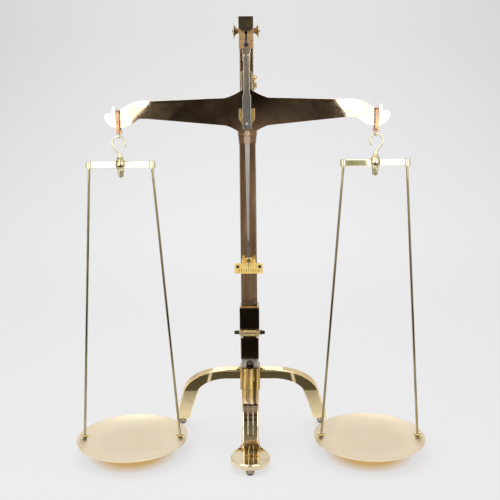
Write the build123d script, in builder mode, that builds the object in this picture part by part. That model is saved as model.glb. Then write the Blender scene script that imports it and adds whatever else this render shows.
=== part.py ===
from build123d import *
import math
import os

os.makedirs("parts", exist_ok=True)

# Equal-arm beam balance on a square pillar with a three-legged base.
# Millimetres, +Z up, X along the beam, +Y to the back.
# The origin is on the table, at the middle of the balance's outline seen from above.

# Clearances
slide_gap = 0.15
turn_gap = 0.05
seat_gap = 0.1
hang_gap = 0.3

# Stance
leg_lean = 36.0
leg_thick = 11.0
leg_width = 29.0
leg_round = 2.0
leg_straight = 45.0
leg_bend_in = 25.0
leg_bend_drop = 59.0
leg_foot_out = 3.0
leg_overrun = 14.0
leg_root_lap = 1.0
rear_foot_back = 140.0
rear_foot_spread = 145.0
front_pad_forward = 63.0
pad_radius = 36.5
pad_flare_radius = 24.0
bun_radius = 8.0
bun_height = 11.0
bun_stud_radius = 2.5
bun_stud_length = 4.5
bun_base_share = 0.7
bun_waist_share = 0.45
bun_shoulder_share = 0.8
front_bun_offset = 26.0
pan_radius = 106.0

# The beam hangs in a plane in front of the pillar, and the whole outline is centred on the origin
column_setback = 35.0
rear_edge = rear_foot_back + max(leg_thick / 2 / math.cos(math.radians(leg_lean)), bun_radius)
front_edge = max(front_pad_forward + pad_radius, pan_radius)
beam_y = (front_edge - rear_edge) / 2
column_y = beam_y + column_setback

# Hub and pillar, from the base up
hub_side = 38.0
hub_bottom = 122.0
hub_height = 43.0
hub_chamfer = 3.0
hub_rib_width = 9.0
hub_rib_proud = 2.0
neck_side = 33.0
neck_height = 19.0
niche_width = 14.0
niche_depth = 6.0
niche_sill = 1.5
niche_lintel = 2.5
neck_chamfer = 2.5
post_side = 35.0
post_height = 42.0
post_chamfer = 1.0
key_width = 25.0
key_depth = 26.0
key_height = 18.0
socket_side = 37.0
socket_height = 44.0
socket_floor = 6.0
socket_chamfer = 3.0
column_side = 30.0
column_wall = 2.1
collar_side = 35.0
collar_height = 36.0
collar_cap = 6.0
collar_wall = 0.6
collar_flare_share = 0.45
inner_side = 25.4
inner_wall = 2.2
inner_overlap = 85.0
lift_travel = 10.0

# Height of the centre knife's edge over the table, and of the column's top under it
knife_height = 638.0
column_top_drop = 8.0

neck_bottom = hub_bottom + hub_height
post_bottom = neck_bottom + neck_height
key_bottom = post_bottom + post_height
socket_bottom = key_bottom + key_height
socket_top = socket_bottom + socket_height
column_bottom = socket_bottom + socket_floor
column_top = knife_height - column_top_drop
inner_bottom = column_top - inner_overlap
collar_bottom = column_top - collar_height
collar_top = column_top + collar_cap

# Base bolt
bolt_radius = 5.0
bolt_head_radius = 6.5
bolt_head_height = 7.0
bolt_reach = 14.0
bolt_tip_room = 1.0

# Front leg
front_leg_width = 32.5
front_leg_thick = 12.0
front_leg_rib = 10.0
front_leg_rib_proud = 2.0
dowel_radius = 3.0
dowel_length = 9.0
dowel_spread = 11.0
front_leg_round = 3.0
rib_end_rise = 20.0
tenon_radius = 4.0
tenon_length = 8.0
tenon_drop = 16.8

# Lifting spindle and rack
pinion_teeth = 10
pinion_module = 1.0
tooth_share = 0.36
tooth_slope = math.tan(math.radians(20))
tooth_root_swell = 1.5
tooth_tip_share = 0.5
addendum_share = 0.9
dedendum_share = 1.1
rack_mesh_gap = 0.1
spindle_radius = 3.5
spindle_reach = 29.0
spindle_collar_radius = 4.4
spindle_square = 5.6
spindle_square_length = 5.0
pinion_half_length = 3.8
bush_radius = 6.0
bush_spigot_radius = 4.6
bush_length = 7.0
rack_width = 8.0
rack_thick = 8.0
rod_below_key = 12.0
plug_height = 15.0
rack_spare = 8.0
rack_teeth_below = 2
rod_end_room = 1.0

# Scale plate
plate_width = 52.0
plate_height = 19.0
plate_thick = 2.5
plate_bottom = 357.0
plate_forward = 34.0
plate_lip = 2.0
plate_lip_proud = 1.2
tick_count = 9
tick_pitch = 4.4
tick_width = 0.8
tick_length = 5.0
tick_depth = 0.4
tick_rise = 1.0
long_tick_share = 1.5
bracket_arm_inner = 8.0
bracket_arm_thick = 4.5
bracket_top_rise = 6.0
bracket_sheet = 2.5
bracket_side_inset = 1.0
bracket_top_inset = 0.5
bracket_drop = 5.5
bracket_screw_low = 3.5
bracket_screw_high = 4.5
bracket_screw_radius = 1.5
bracket_screw_head = 2.8
plate_screw_x = 20.2
plate_screw_radius = 2.6
plate_screw_shank = 1.6
plate_screw_drop = 6.0
small_head = 1.6
small_slot_depth = 0.6
small_slot_half = 0.35

# Head, yoke and shears
head_width = 26.0
head_height = 19.5
apron_thick = 2.6
apron_sag = 5.0
head_back_lap = 1.0
head_plug = 10.0
head_screw_reach = 8.0
head_screw_radius = 2.5
head_screw_head = 4.0
head_screw_head_height = 2.5
head_screw_x = 8.0
head_slot_half = 0.5
head_slot_depth = 1.0
yoke_width = 25.2
yoke_height = 34.0
yoke_over_shears = 0.5
yoke_front = 12.0
yoke_back = 14.0
yoke_slot = 5.3
yoke_gap = 4.2
yoke_band_depth = 2.5
yoke_band_drop = 3.0
yoke_eye_room = 2.0
pin_radius = 4.0
pin_rise = 6.0
pin_reach = 1.5
pin_chamfer = 0.6
cross_bolt_radius = 2.5
cross_bolt_drop = 4.0
cross_bolt_reach = 23.6
nut_radius = 13.5
nut_neck_radius = 3.7
nut_inner = 13.0
nut_outer = 22.4
nut_disc_thick = 2.4
nut_cup_share = 0.55
nut_flare_share = 0.5
nut_edge = 0.5
nut_rim_start = 0.9
nut_flare_run = 2.0
shear_inner = 7.0
shear_thick = 6.0
shear_length = 137.5
shear_below_knife = 16.5
shear_top_half = 8.0
shear_stem_half = 5.2
shear_foot_half = 7.3
rear_shear_half = 10.0
shear_stem_drop = 18.0
shear_foot_height = 58.5
rear_shear_drop = 39.4
shear_step = 2.0
bridge_drop = 21.0
bridge_half = 6.5
bridge_top_drop = 1.5
shear_screw_radius = 1.7
shear_screw_x = 3.4
shear_screw_rise = 10.0
shear_screw_shank = 1.2
shear_screw_head = 0.9
bearing_pocket_half = 5.5
bearing_pocket_depth = 4.0
bearing_pocket_room = 3.0
bearing_seat_drop = 10.0
tie_radius = 2.0
tie_rise = 4.2

shear_bottom = knife_height - shear_below_knife
shear_top = shear_bottom + shear_length
shear_stem_top = shear_top - shear_stem_drop
shear_foot_top = shear_bottom + shear_foot_height
rear_shear_top = shear_top - rear_shear_drop
bridge_bottom = shear_top - bridge_drop
shear_screw_z = bridge_bottom + shear_screw_rise
yoke_bottom = shear_top + yoke_over_shears
pin_height = yoke_bottom + pin_rise
head_bottom = yoke_bottom + yoke_height
cross_bolt_height = head_bottom - cross_bolt_drop

# Guide screw beside the shears
guide_x = 14.0
guide_over_knife = 54.0
guide_height = 9.0
guide_half = 4.0
guide_screw_radius = 1.9
guide_knob_radius = 4.2
guide_chamfer = 0.8
guide_front_gap = 0.5
guide_screw_below = 2.5
guide_knob_rise = 6.0
guide_knob_flat = 0.8

# Beam
beam_reach = 228.6
beam_thick = 10.0
window_half = 14.0
window_over_knife = 19.0
window_shoulder_rise = 2.0
window_below_knife = 11.0
window_foot_half = 7.0
knife_half = 4.0
centre_knife_reach = 10.5
centre_knife_slope = 7.0
centre_knife_body = 12.0
knife_block_inset = 1.0
knife_block_lap = 2.0
knife_block_slot = 5.0
end_knife_slope = 6.5
end_knife_body = 9.5
notch_half = 4.2
beam_crown = 52.0
beam_crown_half = 9.0
beam_crown_fall = 0.5
beam_shoulder_x = 40.0
beam_shoulder_rise = 37.5
beam_crown_sweep = (22.0, 44.0)
beam_neck_run = 57.0
beam_neck_rise = 33.8
beam_neck_sweep = (27.0, 30.8)
beam_notch_lip = 18.5
beam_tab_width = 5.4
beam_tab_foot = 6.4
beam_tab_rise = 24.5
beam_tip_rise = 13.0
beam_tip_flat = 15.5
beam_tip_nose = (19.2, 9.0)
beam_tip_under = (18.0, 1.0)
beam_heel = (8.0, 10.0)
beam_heel_inner = (4.0, 12.5)
beam_throat_sweep = (20.0, 8.5)
beam_throat = (33.0, 0.5)
beam_throat_top = (37.0, 2.2)
beam_throat_end = (42.0, 2.7)
beam_belly_run = 54.0
beam_belly_rise = 2.4
beam_belly_x = 38.0
beam_belly_drop = 10.5
beam_keel_sweep = (20.0, 18.5)
beam_keel_half = 6.0
beam_keel_drop = 29.5
beam_keel_round = (3.5, 31.2)
beam_keel = 31.5

# Pointer
pointer_lap = 4.5
pointer_width = 7.6
pointer_tip_width = 1.0
pointer_thick = 2.0
pointer_socket_thick = 5.0
pointer_block_drop = 41.0
pointer_block_height = 11.0
pointer_block_half = 5.4
pointer_tenon = 7.0
pointer_shoulder = 4.0
ogee_gap = 3.0
ogee_neck = 3.4
ogee_sweep = (4.1, 4.0)
ogee_lip = (6.2, 7.0)
ogee_stem = (3.2, 8.2)
pointer_block_slope = 0.8

# Shackles, links and hooks
strap_half = 2.8
strap_inner = 9.5
strap_thick = 3.0
strap_over_knife = 18.0
bearing_half = 2.2
bearing_height = 12.0
bearing_rise = 3.0
bearing_proud = 0.3
strap_below_knife = 18.5
bridge_thick = 3.5
lug_inner = 1.8
lug_outer = 4.6
lug_half_depth = 3.0
lug_drop = 5.0
lug_root = 1.0
link_head_thick = 0.8
link_head_proud = 0.9
link_pin_radius = 1.2
link_pin_drop = 2.9
link_eye_radius = 2.4
link_eye_half = 1.6
link_ring_radius = 4.0
link_wire_radius = 1.1
link_ring_drop = 6.0
hook_radius = 11.5
hook_wire_radius = 2.0
hook_tip_angle = 35.0
hook_offset = 1.5
hook_shank = 18.5
hook_shank_sink = 2.5
hook_neck_height = 6.2
hook_neck_radius = 4.0
swivel_radius = 2.5
swivel_length = 4.6

# Pan hangers
bar_height = 11.8
bar_depth = 8.0
bar_drop = 14.0
bar_half = 57.0
bar_boss_radius = 6.2
bar_chamfer = 1.0
bar_foot_share = 0.72
bar_foot_height = 1.6
bar_cap_share = 0.6
bar_cap_height = 1.2
rod_socket = 4.0
baluster_neck = 4.6
baluster_foot = 5.8
baluster_collar = (6.2, 1.8)
baluster_waist = (5.4, 3.4)
baluster_belly_rise = 1.5
baluster_slot_half = 20.0
baluster_radius = 9.7
baluster_height = 22.5
stud_radius = 2.0
nut_drop = 13.0
nut_tip_drop = 2.6
nut_bore_depth = 10.5
nut_shoulder = (5.9, 2.0)
nut_belly = (5.6, 7.0)
nut_waist_radius = 5.0
nut_tip = (3.3, 1.3)
nut_tip_radius = 1.0
rod_radius = 2.3
rod_foot_inset = 14.0
rod_foot_rise = 5.0
stud_ball_radius = 3.1
stud_ball_drop = 3.2
stud_washer_radius = 4.4
stud_washer_thick = 1.4
stud_shank_radius = 2.0
rivet_radius = 3.6
rivet_thick = 1.6
cross_pin_radius = 1.3
cross_pin_reach = 6.2
cross_pin_ball = 2.0

# Pans
pan_rim = 34.0
pan_depth = 11.0
pan_flat = 62.0
pan_wall = 1.6
pan_edge = 1.0
pan_edge_share = 0.6

MINIMUM = (Align.MIN, Align.MIN, Align.MIN)
UPWARD = (Align.CENTER, Align.CENTER, Align.MIN)


def save(piece, name):
    """Label a finished piece and write it as one node."""
    piece.label = name
    export_step(piece, "parts/" + name + ".step")


def facing(y, x=0.0, z=0.0):
    """Plane that faces the front at a depth, drawn in X and Z from its origin."""
    return Plane(origin=(x, y, z), x_dir=(1, 0, 0), z_dir=(0, -1, 0))


def block(x0, x1, y0, y1, z0, z1, mode=Mode.ADD):
    """Box between two corners, in the part that is being built."""
    with Locations((x0, y0, z0)):
        Box(x1 - x0, y1 - y0, z1 - z0, align=MINIMUM, mode=mode)


def round_x(x0, x1, y, z, radius, mode=Mode.ADD):
    """Cylinder along X."""
    with Locations(Location((x0, y, z), (0, 90, 0))):
        Cylinder(radius, x1 - x0, align=UPWARD, mode=mode)


def round_y(x, y0, y1, z, radius, mode=Mode.ADD):
    """Cylinder along Y."""
    with Locations(Location((x, y0, z), (-90, 0, 0))):
        Cylinder(radius, y1 - y0, align=UPWARD, mode=mode)


def round_z(x, y, z0, z1, radius, mode=Mode.ADD):
    """Cylinder along Z."""
    with Locations((x, y, z0)):
        Cylinder(radius, z1 - z0, align=UPWARD, mode=mode)


def square_tube(side, bore, y, z0, z1):
    """Upright square tube or bar, centred on X."""
    with BuildPart() as tube:
        block(-side / 2, side / 2, y - side / 2, y + side / 2, z0, z1)
        if bore > 0:
            block(-bore / 2, bore / 2, y - bore / 2, y + bore / 2, z0, z1, Mode.SUBTRACT)
    return tube.part


# Base: hub, legs and feet

lean = math.radians(leg_lean)
tenon_z = neck_bottom - tenon_drop
front_leg_y = column_y - hub_side / 2 + front_leg_thick / 2
rear_foot_y = beam_y + rear_foot_back
tenon_y = rear_foot_y - (tenon_z - bun_height) * math.tan(lean)
pad_y = beam_y - front_pad_forward
bun_y = pad_y - front_bun_offset

with BuildPart() as hub_block:
    block(-hub_side / 2, hub_side / 2, column_y - hub_side / 2, column_y + hub_side / 2,
          hub_bottom, neck_bottom)
    chamfer(hub_block.edges().filter_by(Axis.Z), hub_chamfer)
    block(-hub_rib_width / 2, hub_rib_width / 2, column_y - hub_side / 2 - hub_rib_proud,
          column_y - hub_side / 2, hub_bottom, neck_bottom)
    round_z(0, column_y, hub_bottom, neck_bottom, bolt_radius + seat_gap, Mode.SUBTRACT)
    round_z(0, column_y, hub_bottom, hub_bottom + bolt_head_height + seat_gap,
            bolt_head_radius + seat_gap, Mode.SUBTRACT)
    round_x(-hub_side / 2, -hub_side / 2 + tenon_length + seat_gap, tenon_y, tenon_z,
            tenon_radius + seat_gap, Mode.SUBTRACT)
    round_x(hub_side / 2 - tenon_length - seat_gap, hub_side / 2, tenon_y, tenon_z,
            tenon_radius + seat_gap, Mode.SUBTRACT)
    for dowel_x in (-dowel_spread, dowel_spread):
        round_z(dowel_x, front_leg_y, hub_bottom, hub_bottom + dowel_length + seat_gap,
                dowel_radius + seat_gap, Mode.SUBTRACT)
save(hub_block.part, "hub_block")

# The rear legs lie in one plane that leans back from the hub to the feet
leg_plane = Plane(origin=(0, rear_foot_y, bun_height), x_dir=(1, 0, 0),
                  z_dir=(0, -math.cos(lean), -math.sin(lean)))
leg_rise = (tenon_z - bun_height) / math.cos(lean)
leg_bend_end = (rear_foot_spread - leg_bend_in, leg_rise - leg_bend_drop)
leg_end = (rear_foot_spread + leg_foot_out, -leg_overrun)


def rear_leg(side):
    """Curved bar from the hub's side to one rear foot."""
    with BuildPart() as leg:
        with BuildLine(leg_plane) as route:
            start = Line((side * hub_side / 2, leg_rise), (side * leg_straight, leg_rise))
            bend = TangentArc((side * leg_straight, leg_rise), (side * leg_bend_end[0], leg_bend_end[1]),
                              tangent=start % 1)
            TangentArc((side * leg_bend_end[0], leg_bend_end[1]),
                       (side * leg_end[0], leg_end[1]), tangent=bend % 1)
        section = Plane(origin=route.wires()[0] @ 0, x_dir=leg_plane.z_dir, z_dir=(side, 0, 0))
        with BuildSketch(section):
            RectangleRounded(leg_thick, leg_width, leg_round)
        sweep(path=route.wires()[0])
        block(-2 * rear_foot_spread, 2 * rear_foot_spread, rear_foot_y - leg_width,
              rear_foot_y + 2 * leg_width, bun_height - 2 * leg_width, bun_height, Mode.SUBTRACT)
        tenon_from = hub_side / 2 - tenon_length
        if side > 0:
            round_x(tenon_from, hub_side / 2 + leg_root_lap, tenon_y, tenon_z, tenon_radius)
        else:
            round_x(-hub_side / 2 - leg_root_lap, -tenon_from, tenon_y, tenon_z, tenon_radius)
        round_z(side * rear_foot_spread, rear_foot_y, bun_height,
                bun_height + bun_stud_length + seat_gap, bun_stud_radius + seat_gap, Mode.SUBTRACT)
    return leg.part


save(rear_leg(-1), "left_rear_leg")
save(rear_leg(1), "right_rear_leg")

# The front leg is a bar bent forward from under the hub, whose end spreads into a flat round pad
front_leg_end_z = bun_height + front_leg_thick / 2
front_bend = front_leg_y - pad_y
bend_top = front_leg_end_z + front_bend
flare_centre_x = front_leg_width / 2 + pad_flare_radius
flare_back = math.sqrt((pad_radius + pad_flare_radius) ** 2 - flare_centre_x ** 2)
flare_turn = math.atan2(flare_back, flare_centre_x)
flare_touch = (pad_radius * math.cos(flare_turn), pad_y + pad_radius * math.sin(flare_turn))
flare_middle = (flare_centre_x - pad_flare_radius * math.cos(flare_turn / 2),
               pad_y + flare_back - pad_flare_radius * math.sin(flare_turn / 2))
rib_turn = math.acos(1 - rib_end_rise / front_bend)
rib_end = (0, pad_y + front_bend * math.sin(rib_turn), bend_top - front_bend * math.cos(rib_turn))
leg_top_plane = Plane(origin=(0, front_leg_y, hub_bottom), x_dir=(-1, 0, 0), z_dir=(0, 0, -1))
leg_back = front_leg_y + front_leg_thick


def bar_offset(point):
    """How far a point of the front leg stands off the middle layer of its bar."""
    if point.Z > bend_top:
        return abs(point.Y - front_leg_y)
    if point.Y < pad_y:
        return abs(point.Z - front_leg_end_z)
    return abs(math.hypot(point.Y - pad_y, point.Z - bend_top) - front_bend)


def on_outline(edge):
    """Whether an edge of the front leg runs along its outline, on the bar's front or back face."""
    return all(abs(bar_offset(edge @ share) - front_leg_thick / 2) < seat_gap for share in (0.25, 0.75))


with BuildPart() as front_leg:
    with BuildLine() as strip_route:
        drop = Line((0, front_leg_y, hub_bottom), (0, front_leg_y, bend_top))
        TangentArc(drop @ 1, (0, pad_y, front_leg_end_z), tangent=drop % 1)
        Line((0, pad_y, front_leg_end_z), (0, pad_y - 2 * pad_radius, front_leg_end_z))
    with BuildSketch(leg_top_plane):
        Rectangle(4 * pad_radius, front_leg_thick)
    sweep(path=strip_route.wires()[0])
    with BuildSketch():
        with BuildLine():
            Polyline((front_leg_width / 2, pad_y + flare_back), (front_leg_width / 2, leg_back),
                     (-front_leg_width / 2, leg_back), (-front_leg_width / 2, pad_y + flare_back))
            ThreePointArc((-front_leg_width / 2, pad_y + flare_back), (-flare_middle[0], flare_middle[1]),
                          (-flare_touch[0], flare_touch[1]))
            ThreePointArc((-flare_touch[0], flare_touch[1]), (0, pad_y - pad_radius), flare_touch)
            ThreePointArc(flare_touch, flare_middle, (front_leg_width / 2, pad_y + flare_back))
        make_face()
    extrude(amount=hub_bottom, mode=Mode.INTERSECT)
    fillet(front_leg.edges().filter_by(Axis.X, reverse=True).filter_by(on_outline), front_leg_round)
    with BuildLine() as rib_route:
        rib_drop = Line((0, front_leg_y, hub_bottom), (0, front_leg_y, bend_top))
        TangentArc(rib_drop @ 1, rib_end, tangent=rib_drop % 1)
    with BuildSketch(leg_top_plane):
        with Locations((0, -front_leg_thick / 2)):
            Rectangle(front_leg_rib, 2 * front_leg_rib_proud)
    sweep(path=rib_route.wires()[0])
    for dowel_x in (-dowel_spread, dowel_spread):
        round_z(dowel_x, front_leg_y, hub_bottom - leg_root_lap, hub_bottom + dowel_length, dowel_radius)
    round_z(0, bun_y, bun_height, bun_height + bun_stud_length + seat_gap,
            bun_stud_radius + seat_gap, Mode.SUBTRACT)
save(front_leg.part, "front_leg")


def bun_foot(x, y):
    """Turned bun foot with its stud, standing on the table."""
    base_radius = bun_radius * bun_base_share
    shoulder_radius = bun_radius * bun_shoulder_share
    stud_top = bun_height + bun_stud_length
    with BuildPart() as foot:
        with BuildSketch(facing(y, x)):
            with BuildLine():
                Line((0, 0), (base_radius, 0))
                ThreePointArc((base_radius, 0), (bun_radius, bun_height * bun_waist_share),
                              (shoulder_radius, bun_height))
                Polyline((shoulder_radius, bun_height), (bun_stud_radius, bun_height),
                         (bun_stud_radius, stud_top), (0, stud_top), (0, 0))
            make_face()
        revolve(axis=Axis((x, y, 0), (0, 0, 1)))
    return foot.part


feet = [
    bun_foot(0, bun_y),
    bun_foot(-rear_foot_spread, rear_foot_y),
    bun_foot(rear_foot_spread, rear_foot_y),
]
with BuildPart() as bun_feet:
    for foot_piece in feet:
        add(foot_piece)
save(bun_feet.part, "bun_feet")

bolt_top = post_bottom + bolt_reach
with BuildPart() as base_bolt:
    round_z(0, column_y, hub_bottom + bolt_head_height, bolt_top, bolt_radius)
    with BuildSketch(Plane(origin=(0, column_y, hub_bottom))):
        RegularPolygon(bolt_head_radius, 6)
    extrude(amount=bolt_head_height)
save(base_bolt.part, "base_bolt")

niche_straight = neck_height - niche_sill - niche_lintel - niche_width / 2
with BuildPart() as neck_collar:
    block(-neck_side / 2, neck_side / 2, column_y - neck_side / 2, column_y + neck_side / 2,
          neck_bottom, post_bottom)
    chamfer(neck_collar.edges().filter_by(Axis.Z), neck_chamfer)
    for turn in range(4):
        side_plane = Plane(origin=(0, column_y, neck_bottom)).rotated((0, 0, 90 * turn))
        niche_plane = Plane(origin=side_plane.from_local_coords((0, -neck_side / 2, 0)),
                            x_dir=side_plane.x_dir, z_dir=-side_plane.y_dir)
        with BuildSketch(niche_plane):
            with Locations((0, niche_sill + niche_straight / 2)):
                Rectangle(niche_width, niche_straight)
            with Locations((0, niche_sill + niche_straight)):
                Circle(niche_width / 2)
        extrude(amount=-niche_depth, mode=Mode.SUBTRACT)
    round_z(0, column_y, neck_bottom, post_bottom, bolt_radius + seat_gap, Mode.SUBTRACT)
save(neck_collar.part, "neck_collar")

# Pillar: lower post, key block, socket, outer column and collar

spindle_z = key_bottom + key_height / 2
pitch_radius = pinion_module * pinion_teeth / 2
addendum = addendum_share * pinion_module
dedendum = dedendum_share * pinion_module
rack_back = column_y + rack_thick / 2
rack_pitch_y = column_y - rack_thick / 2 - dedendum + rack_mesh_gap * pinion_module
spindle_y = rack_pitch_y - pitch_radius
channel_x = rack_width / 2 + hang_gap
channel_front = rack_pitch_y - addendum - hang_gap
channel_back = rack_back + hang_gap
pinion_tip = pitch_radius + addendum
rod_bottom = key_bottom - rod_below_key


def rod_channel(z0, z1):
    """Upright channel that the lifting rod slides in."""
    block(-channel_x, channel_x, channel_front, channel_back, z0, z1, Mode.SUBTRACT)


with BuildPart() as lower_post:
    block(-post_side / 2, post_side / 2, column_y - post_side / 2, column_y + post_side / 2,
          post_bottom, key_bottom)
    chamfer(lower_post.edges().filter_by(Axis.Z), post_chamfer)
    round_z(0, column_y, post_bottom, bolt_top + bolt_tip_room, bolt_radius + seat_gap, Mode.SUBTRACT)
    rod_channel(rod_bottom - lift_travel - rod_end_room, key_bottom)
save(lower_post.part, "lower_post")

with BuildPart() as key_block:
    block(-key_width / 2, key_width / 2, column_y - key_depth / 2, column_y + key_depth / 2,
          key_bottom, socket_bottom)
    round_x(-key_width / 2, key_width / 2, spindle_y, spindle_z, key_height / 2)
    round_x(-key_width / 2, key_width / 2, spindle_y, spindle_z,
            bush_spigot_radius + seat_gap, Mode.SUBTRACT)
    round_x(-pinion_half_length - hang_gap, pinion_half_length + hang_gap, spindle_y, spindle_z,
            pinion_tip + hang_gap, Mode.SUBTRACT)
    rod_channel(key_bottom, socket_bottom)
save(key_block.part, "key_block")

bush_spigot = key_width / 2 - pinion_half_length - 2 * hang_gap
with BuildPart() as spindle_bushes:
    for side in (-1, 1):
        flange_from = side * key_width / 2
        flange_to = side * (key_width / 2 + bush_length)
        spigot_to = side * (key_width / 2 - bush_spigot)
        round_x(min(flange_from, flange_to), max(flange_from, flange_to), spindle_y, spindle_z, bush_radius)
        round_x(min(flange_from, spigot_to), max(flange_from, spigot_to), spindle_y, spindle_z,
                bush_spigot_radius)
    round_x(-spindle_reach, spindle_reach, spindle_y, spindle_z, spindle_radius + turn_gap, Mode.SUBTRACT)
save(spindle_bushes.part, "spindle_bushes")

column_bore = column_side - 2 * column_wall
with BuildPart() as column_socket:
    block(-socket_side / 2, socket_side / 2, column_y - socket_side / 2, column_y + socket_side / 2,
          socket_bottom, socket_top)
    chamfer(column_socket.faces().sort_by(Axis.Z)[-1].edges(), socket_chamfer)
    socket_bore = column_side + 2 * seat_gap
    block(-socket_bore / 2, socket_bore / 2, column_y - socket_bore / 2, column_y + socket_bore / 2,
          column_bottom, socket_top, Mode.SUBTRACT)
    rod_channel(socket_bottom, column_bottom)
save(column_socket.part, "column_socket")

outer_column = square_tube(column_side, column_bore, column_y, column_bottom, column_top)
save(outer_column, "outer_column")

collar_flare_top = collar_bottom + (collar_top - collar_bottom) * collar_flare_share
with BuildPart() as column_collar:
    for height, side in ((collar_bottom, column_side + 2 * collar_wall),
                         ((collar_bottom * 2 + collar_flare_top) / 3, column_side + 3 * collar_wall),
                         (collar_flare_top, collar_side)):
        with BuildSketch(Plane(origin=(0, column_y, height))):
            Rectangle(side, side)
    loft()
    block(-collar_side / 2, collar_side / 2, column_y - collar_side / 2, column_y + collar_side / 2,
          collar_flare_top, collar_top)
    column_hole = column_side + 2 * seat_gap
    inner_hole = inner_side + 2 * slide_gap
    block(-column_hole / 2, column_hole / 2, column_y - column_hole / 2, column_y + column_hole / 2,
          collar_bottom, column_top, Mode.SUBTRACT)
    block(-inner_hole / 2, inner_hole / 2, column_y - inner_hole / 2, column_y + inner_hole / 2,
          column_top, collar_top, Mode.SUBTRACT)
save(column_collar.part, "column_collar")

# Scale plate with its bracket and screws

plate_back = column_y - plate_forward
plate_front = plate_back - plate_thick
plate_top = plate_bottom + plate_height
plate_screw_z = plate_top - plate_screw_drop
tick_foot = plate_bottom + plate_lip + tick_rise
with BuildPart() as scale_plate:
    block(-plate_width / 2, plate_width / 2, plate_front, plate_back, plate_bottom, plate_top)
    block(-plate_width / 2, plate_width / 2, plate_front - plate_lip_proud, plate_front, plate_bottom,
          plate_bottom + plate_lip)
    for tick in range(tick_count):
        tick_x = (tick - (tick_count - 1) / 2) * tick_pitch
        tall = tick_length * (long_tick_share if tick == (tick_count - 1) // 2 else 1.0)
        block(tick_x - tick_width / 2, tick_x + tick_width / 2, plate_front, plate_front + tick_depth,
              tick_foot, tick_foot + tall, Mode.SUBTRACT)
    for screw_x in (-plate_screw_x, plate_screw_x):
        round_y(screw_x, plate_front, plate_back, plate_screw_z, plate_screw_shank + seat_gap, Mode.SUBTRACT)
save(scale_plate.part, "scale_plate")

column_front = column_y - column_side / 2
arm_outer = bracket_arm_inner + bracket_arm_thick
bracket_bottom = plate_screw_z - bracket_drop
bracket_top = plate_top + bracket_top_rise
bracket_screw_heights = (bracket_bottom + bracket_screw_low, bracket_top - bracket_screw_high)
with BuildPart() as scale_bracket:
    block(-arm_outer, arm_outer, column_front - bracket_sheet, column_front, bracket_bottom, bracket_top)
    for side in (-1, 1):
        near = side * bracket_arm_inner
        far = side * arm_outer
        wide = side * (plate_width / 2 - bracket_side_inset)
        block(min(near, far), max(near, far), plate_back, column_front, bracket_bottom, bracket_top)
        block(min(near, wide), max(near, wide), plate_back, plate_back + bracket_sheet, bracket_bottom,
              plate_top - bracket_top_inset)
        round_y(side * plate_screw_x, plate_back, plate_back + bracket_sheet, plate_screw_z,
                plate_screw_shank + seat_gap, Mode.SUBTRACT)
    for screw_height in bracket_screw_heights:
        round_y(0, column_front - bracket_sheet, column_front, screw_height,
                bracket_screw_radius + seat_gap, Mode.SUBTRACT)
save(scale_bracket.part, "scale_bracket")

bracket_face = column_front - bracket_sheet
with BuildPart() as plate_screws:
    for screw_x in (-plate_screw_x, plate_screw_x):
        round_y(screw_x, plate_front - small_head, plate_front, plate_screw_z, plate_screw_radius)
        round_y(screw_x, plate_front, plate_back + bracket_sheet, plate_screw_z, plate_screw_shank)
        block(screw_x - plate_screw_radius, screw_x + plate_screw_radius, plate_front - small_head,
              plate_front - small_head + small_slot_depth, plate_screw_z - small_slot_half,
              plate_screw_z + small_slot_half, Mode.SUBTRACT)
    for screw_height in bracket_screw_heights:
        round_y(0, bracket_face - small_head, bracket_face, screw_height, bracket_screw_head)
        round_y(0, bracket_face, column_front, screw_height, bracket_screw_radius)
save(plate_screws.part, "plate_screws")

# Lifting column: inner column, rack rod and spindle

inner_bore = inner_side - 2 * inner_wall
inner_column = square_tube(inner_side, inner_bore, column_y, inner_bottom, head_bottom)
save(inner_column, "inner_column")

rack_pitch = math.pi * pinion_module
rack_teeth = int((lift_travel + 2 * pitch_radius + rack_spare) / rack_pitch)
rod_front = rack_pitch_y + dedendum
plug_side = inner_bore - 2 * seat_gap
with BuildPart() as lift_rod:
    block(-rack_width / 2, rack_width / 2, rod_front, rack_back, rod_bottom, inner_bottom + plug_height)
    block(-plug_side / 2, plug_side / 2, column_y - plug_side / 2, column_y + plug_side / 2,
          inner_bottom, inner_bottom + plug_height)
    for tooth in range(rack_teeth):
        tooth_z = spindle_z + (tooth + 0.5 - rack_teeth_below) * rack_pitch
        half = tooth_share * rack_pitch / 2
        with BuildSketch(Plane(origin=(-rack_width / 2, 0, tooth_z), x_dir=(0, 1, 0), z_dir=(1, 0, 0))):
            with BuildLine():
                Polyline((rack_pitch_y - addendum, -half + addendum * tooth_slope),
                         (rack_pitch_y - addendum, half - addendum * tooth_slope),
                         (rod_front + seat_gap, half + dedendum * tooth_slope),
                         (rod_front + seat_gap, -half - dedendum * tooth_slope), close=True)
            make_face()
        extrude(amount=rack_width)
save(lift_rod.part, "lift_rod")

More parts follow.
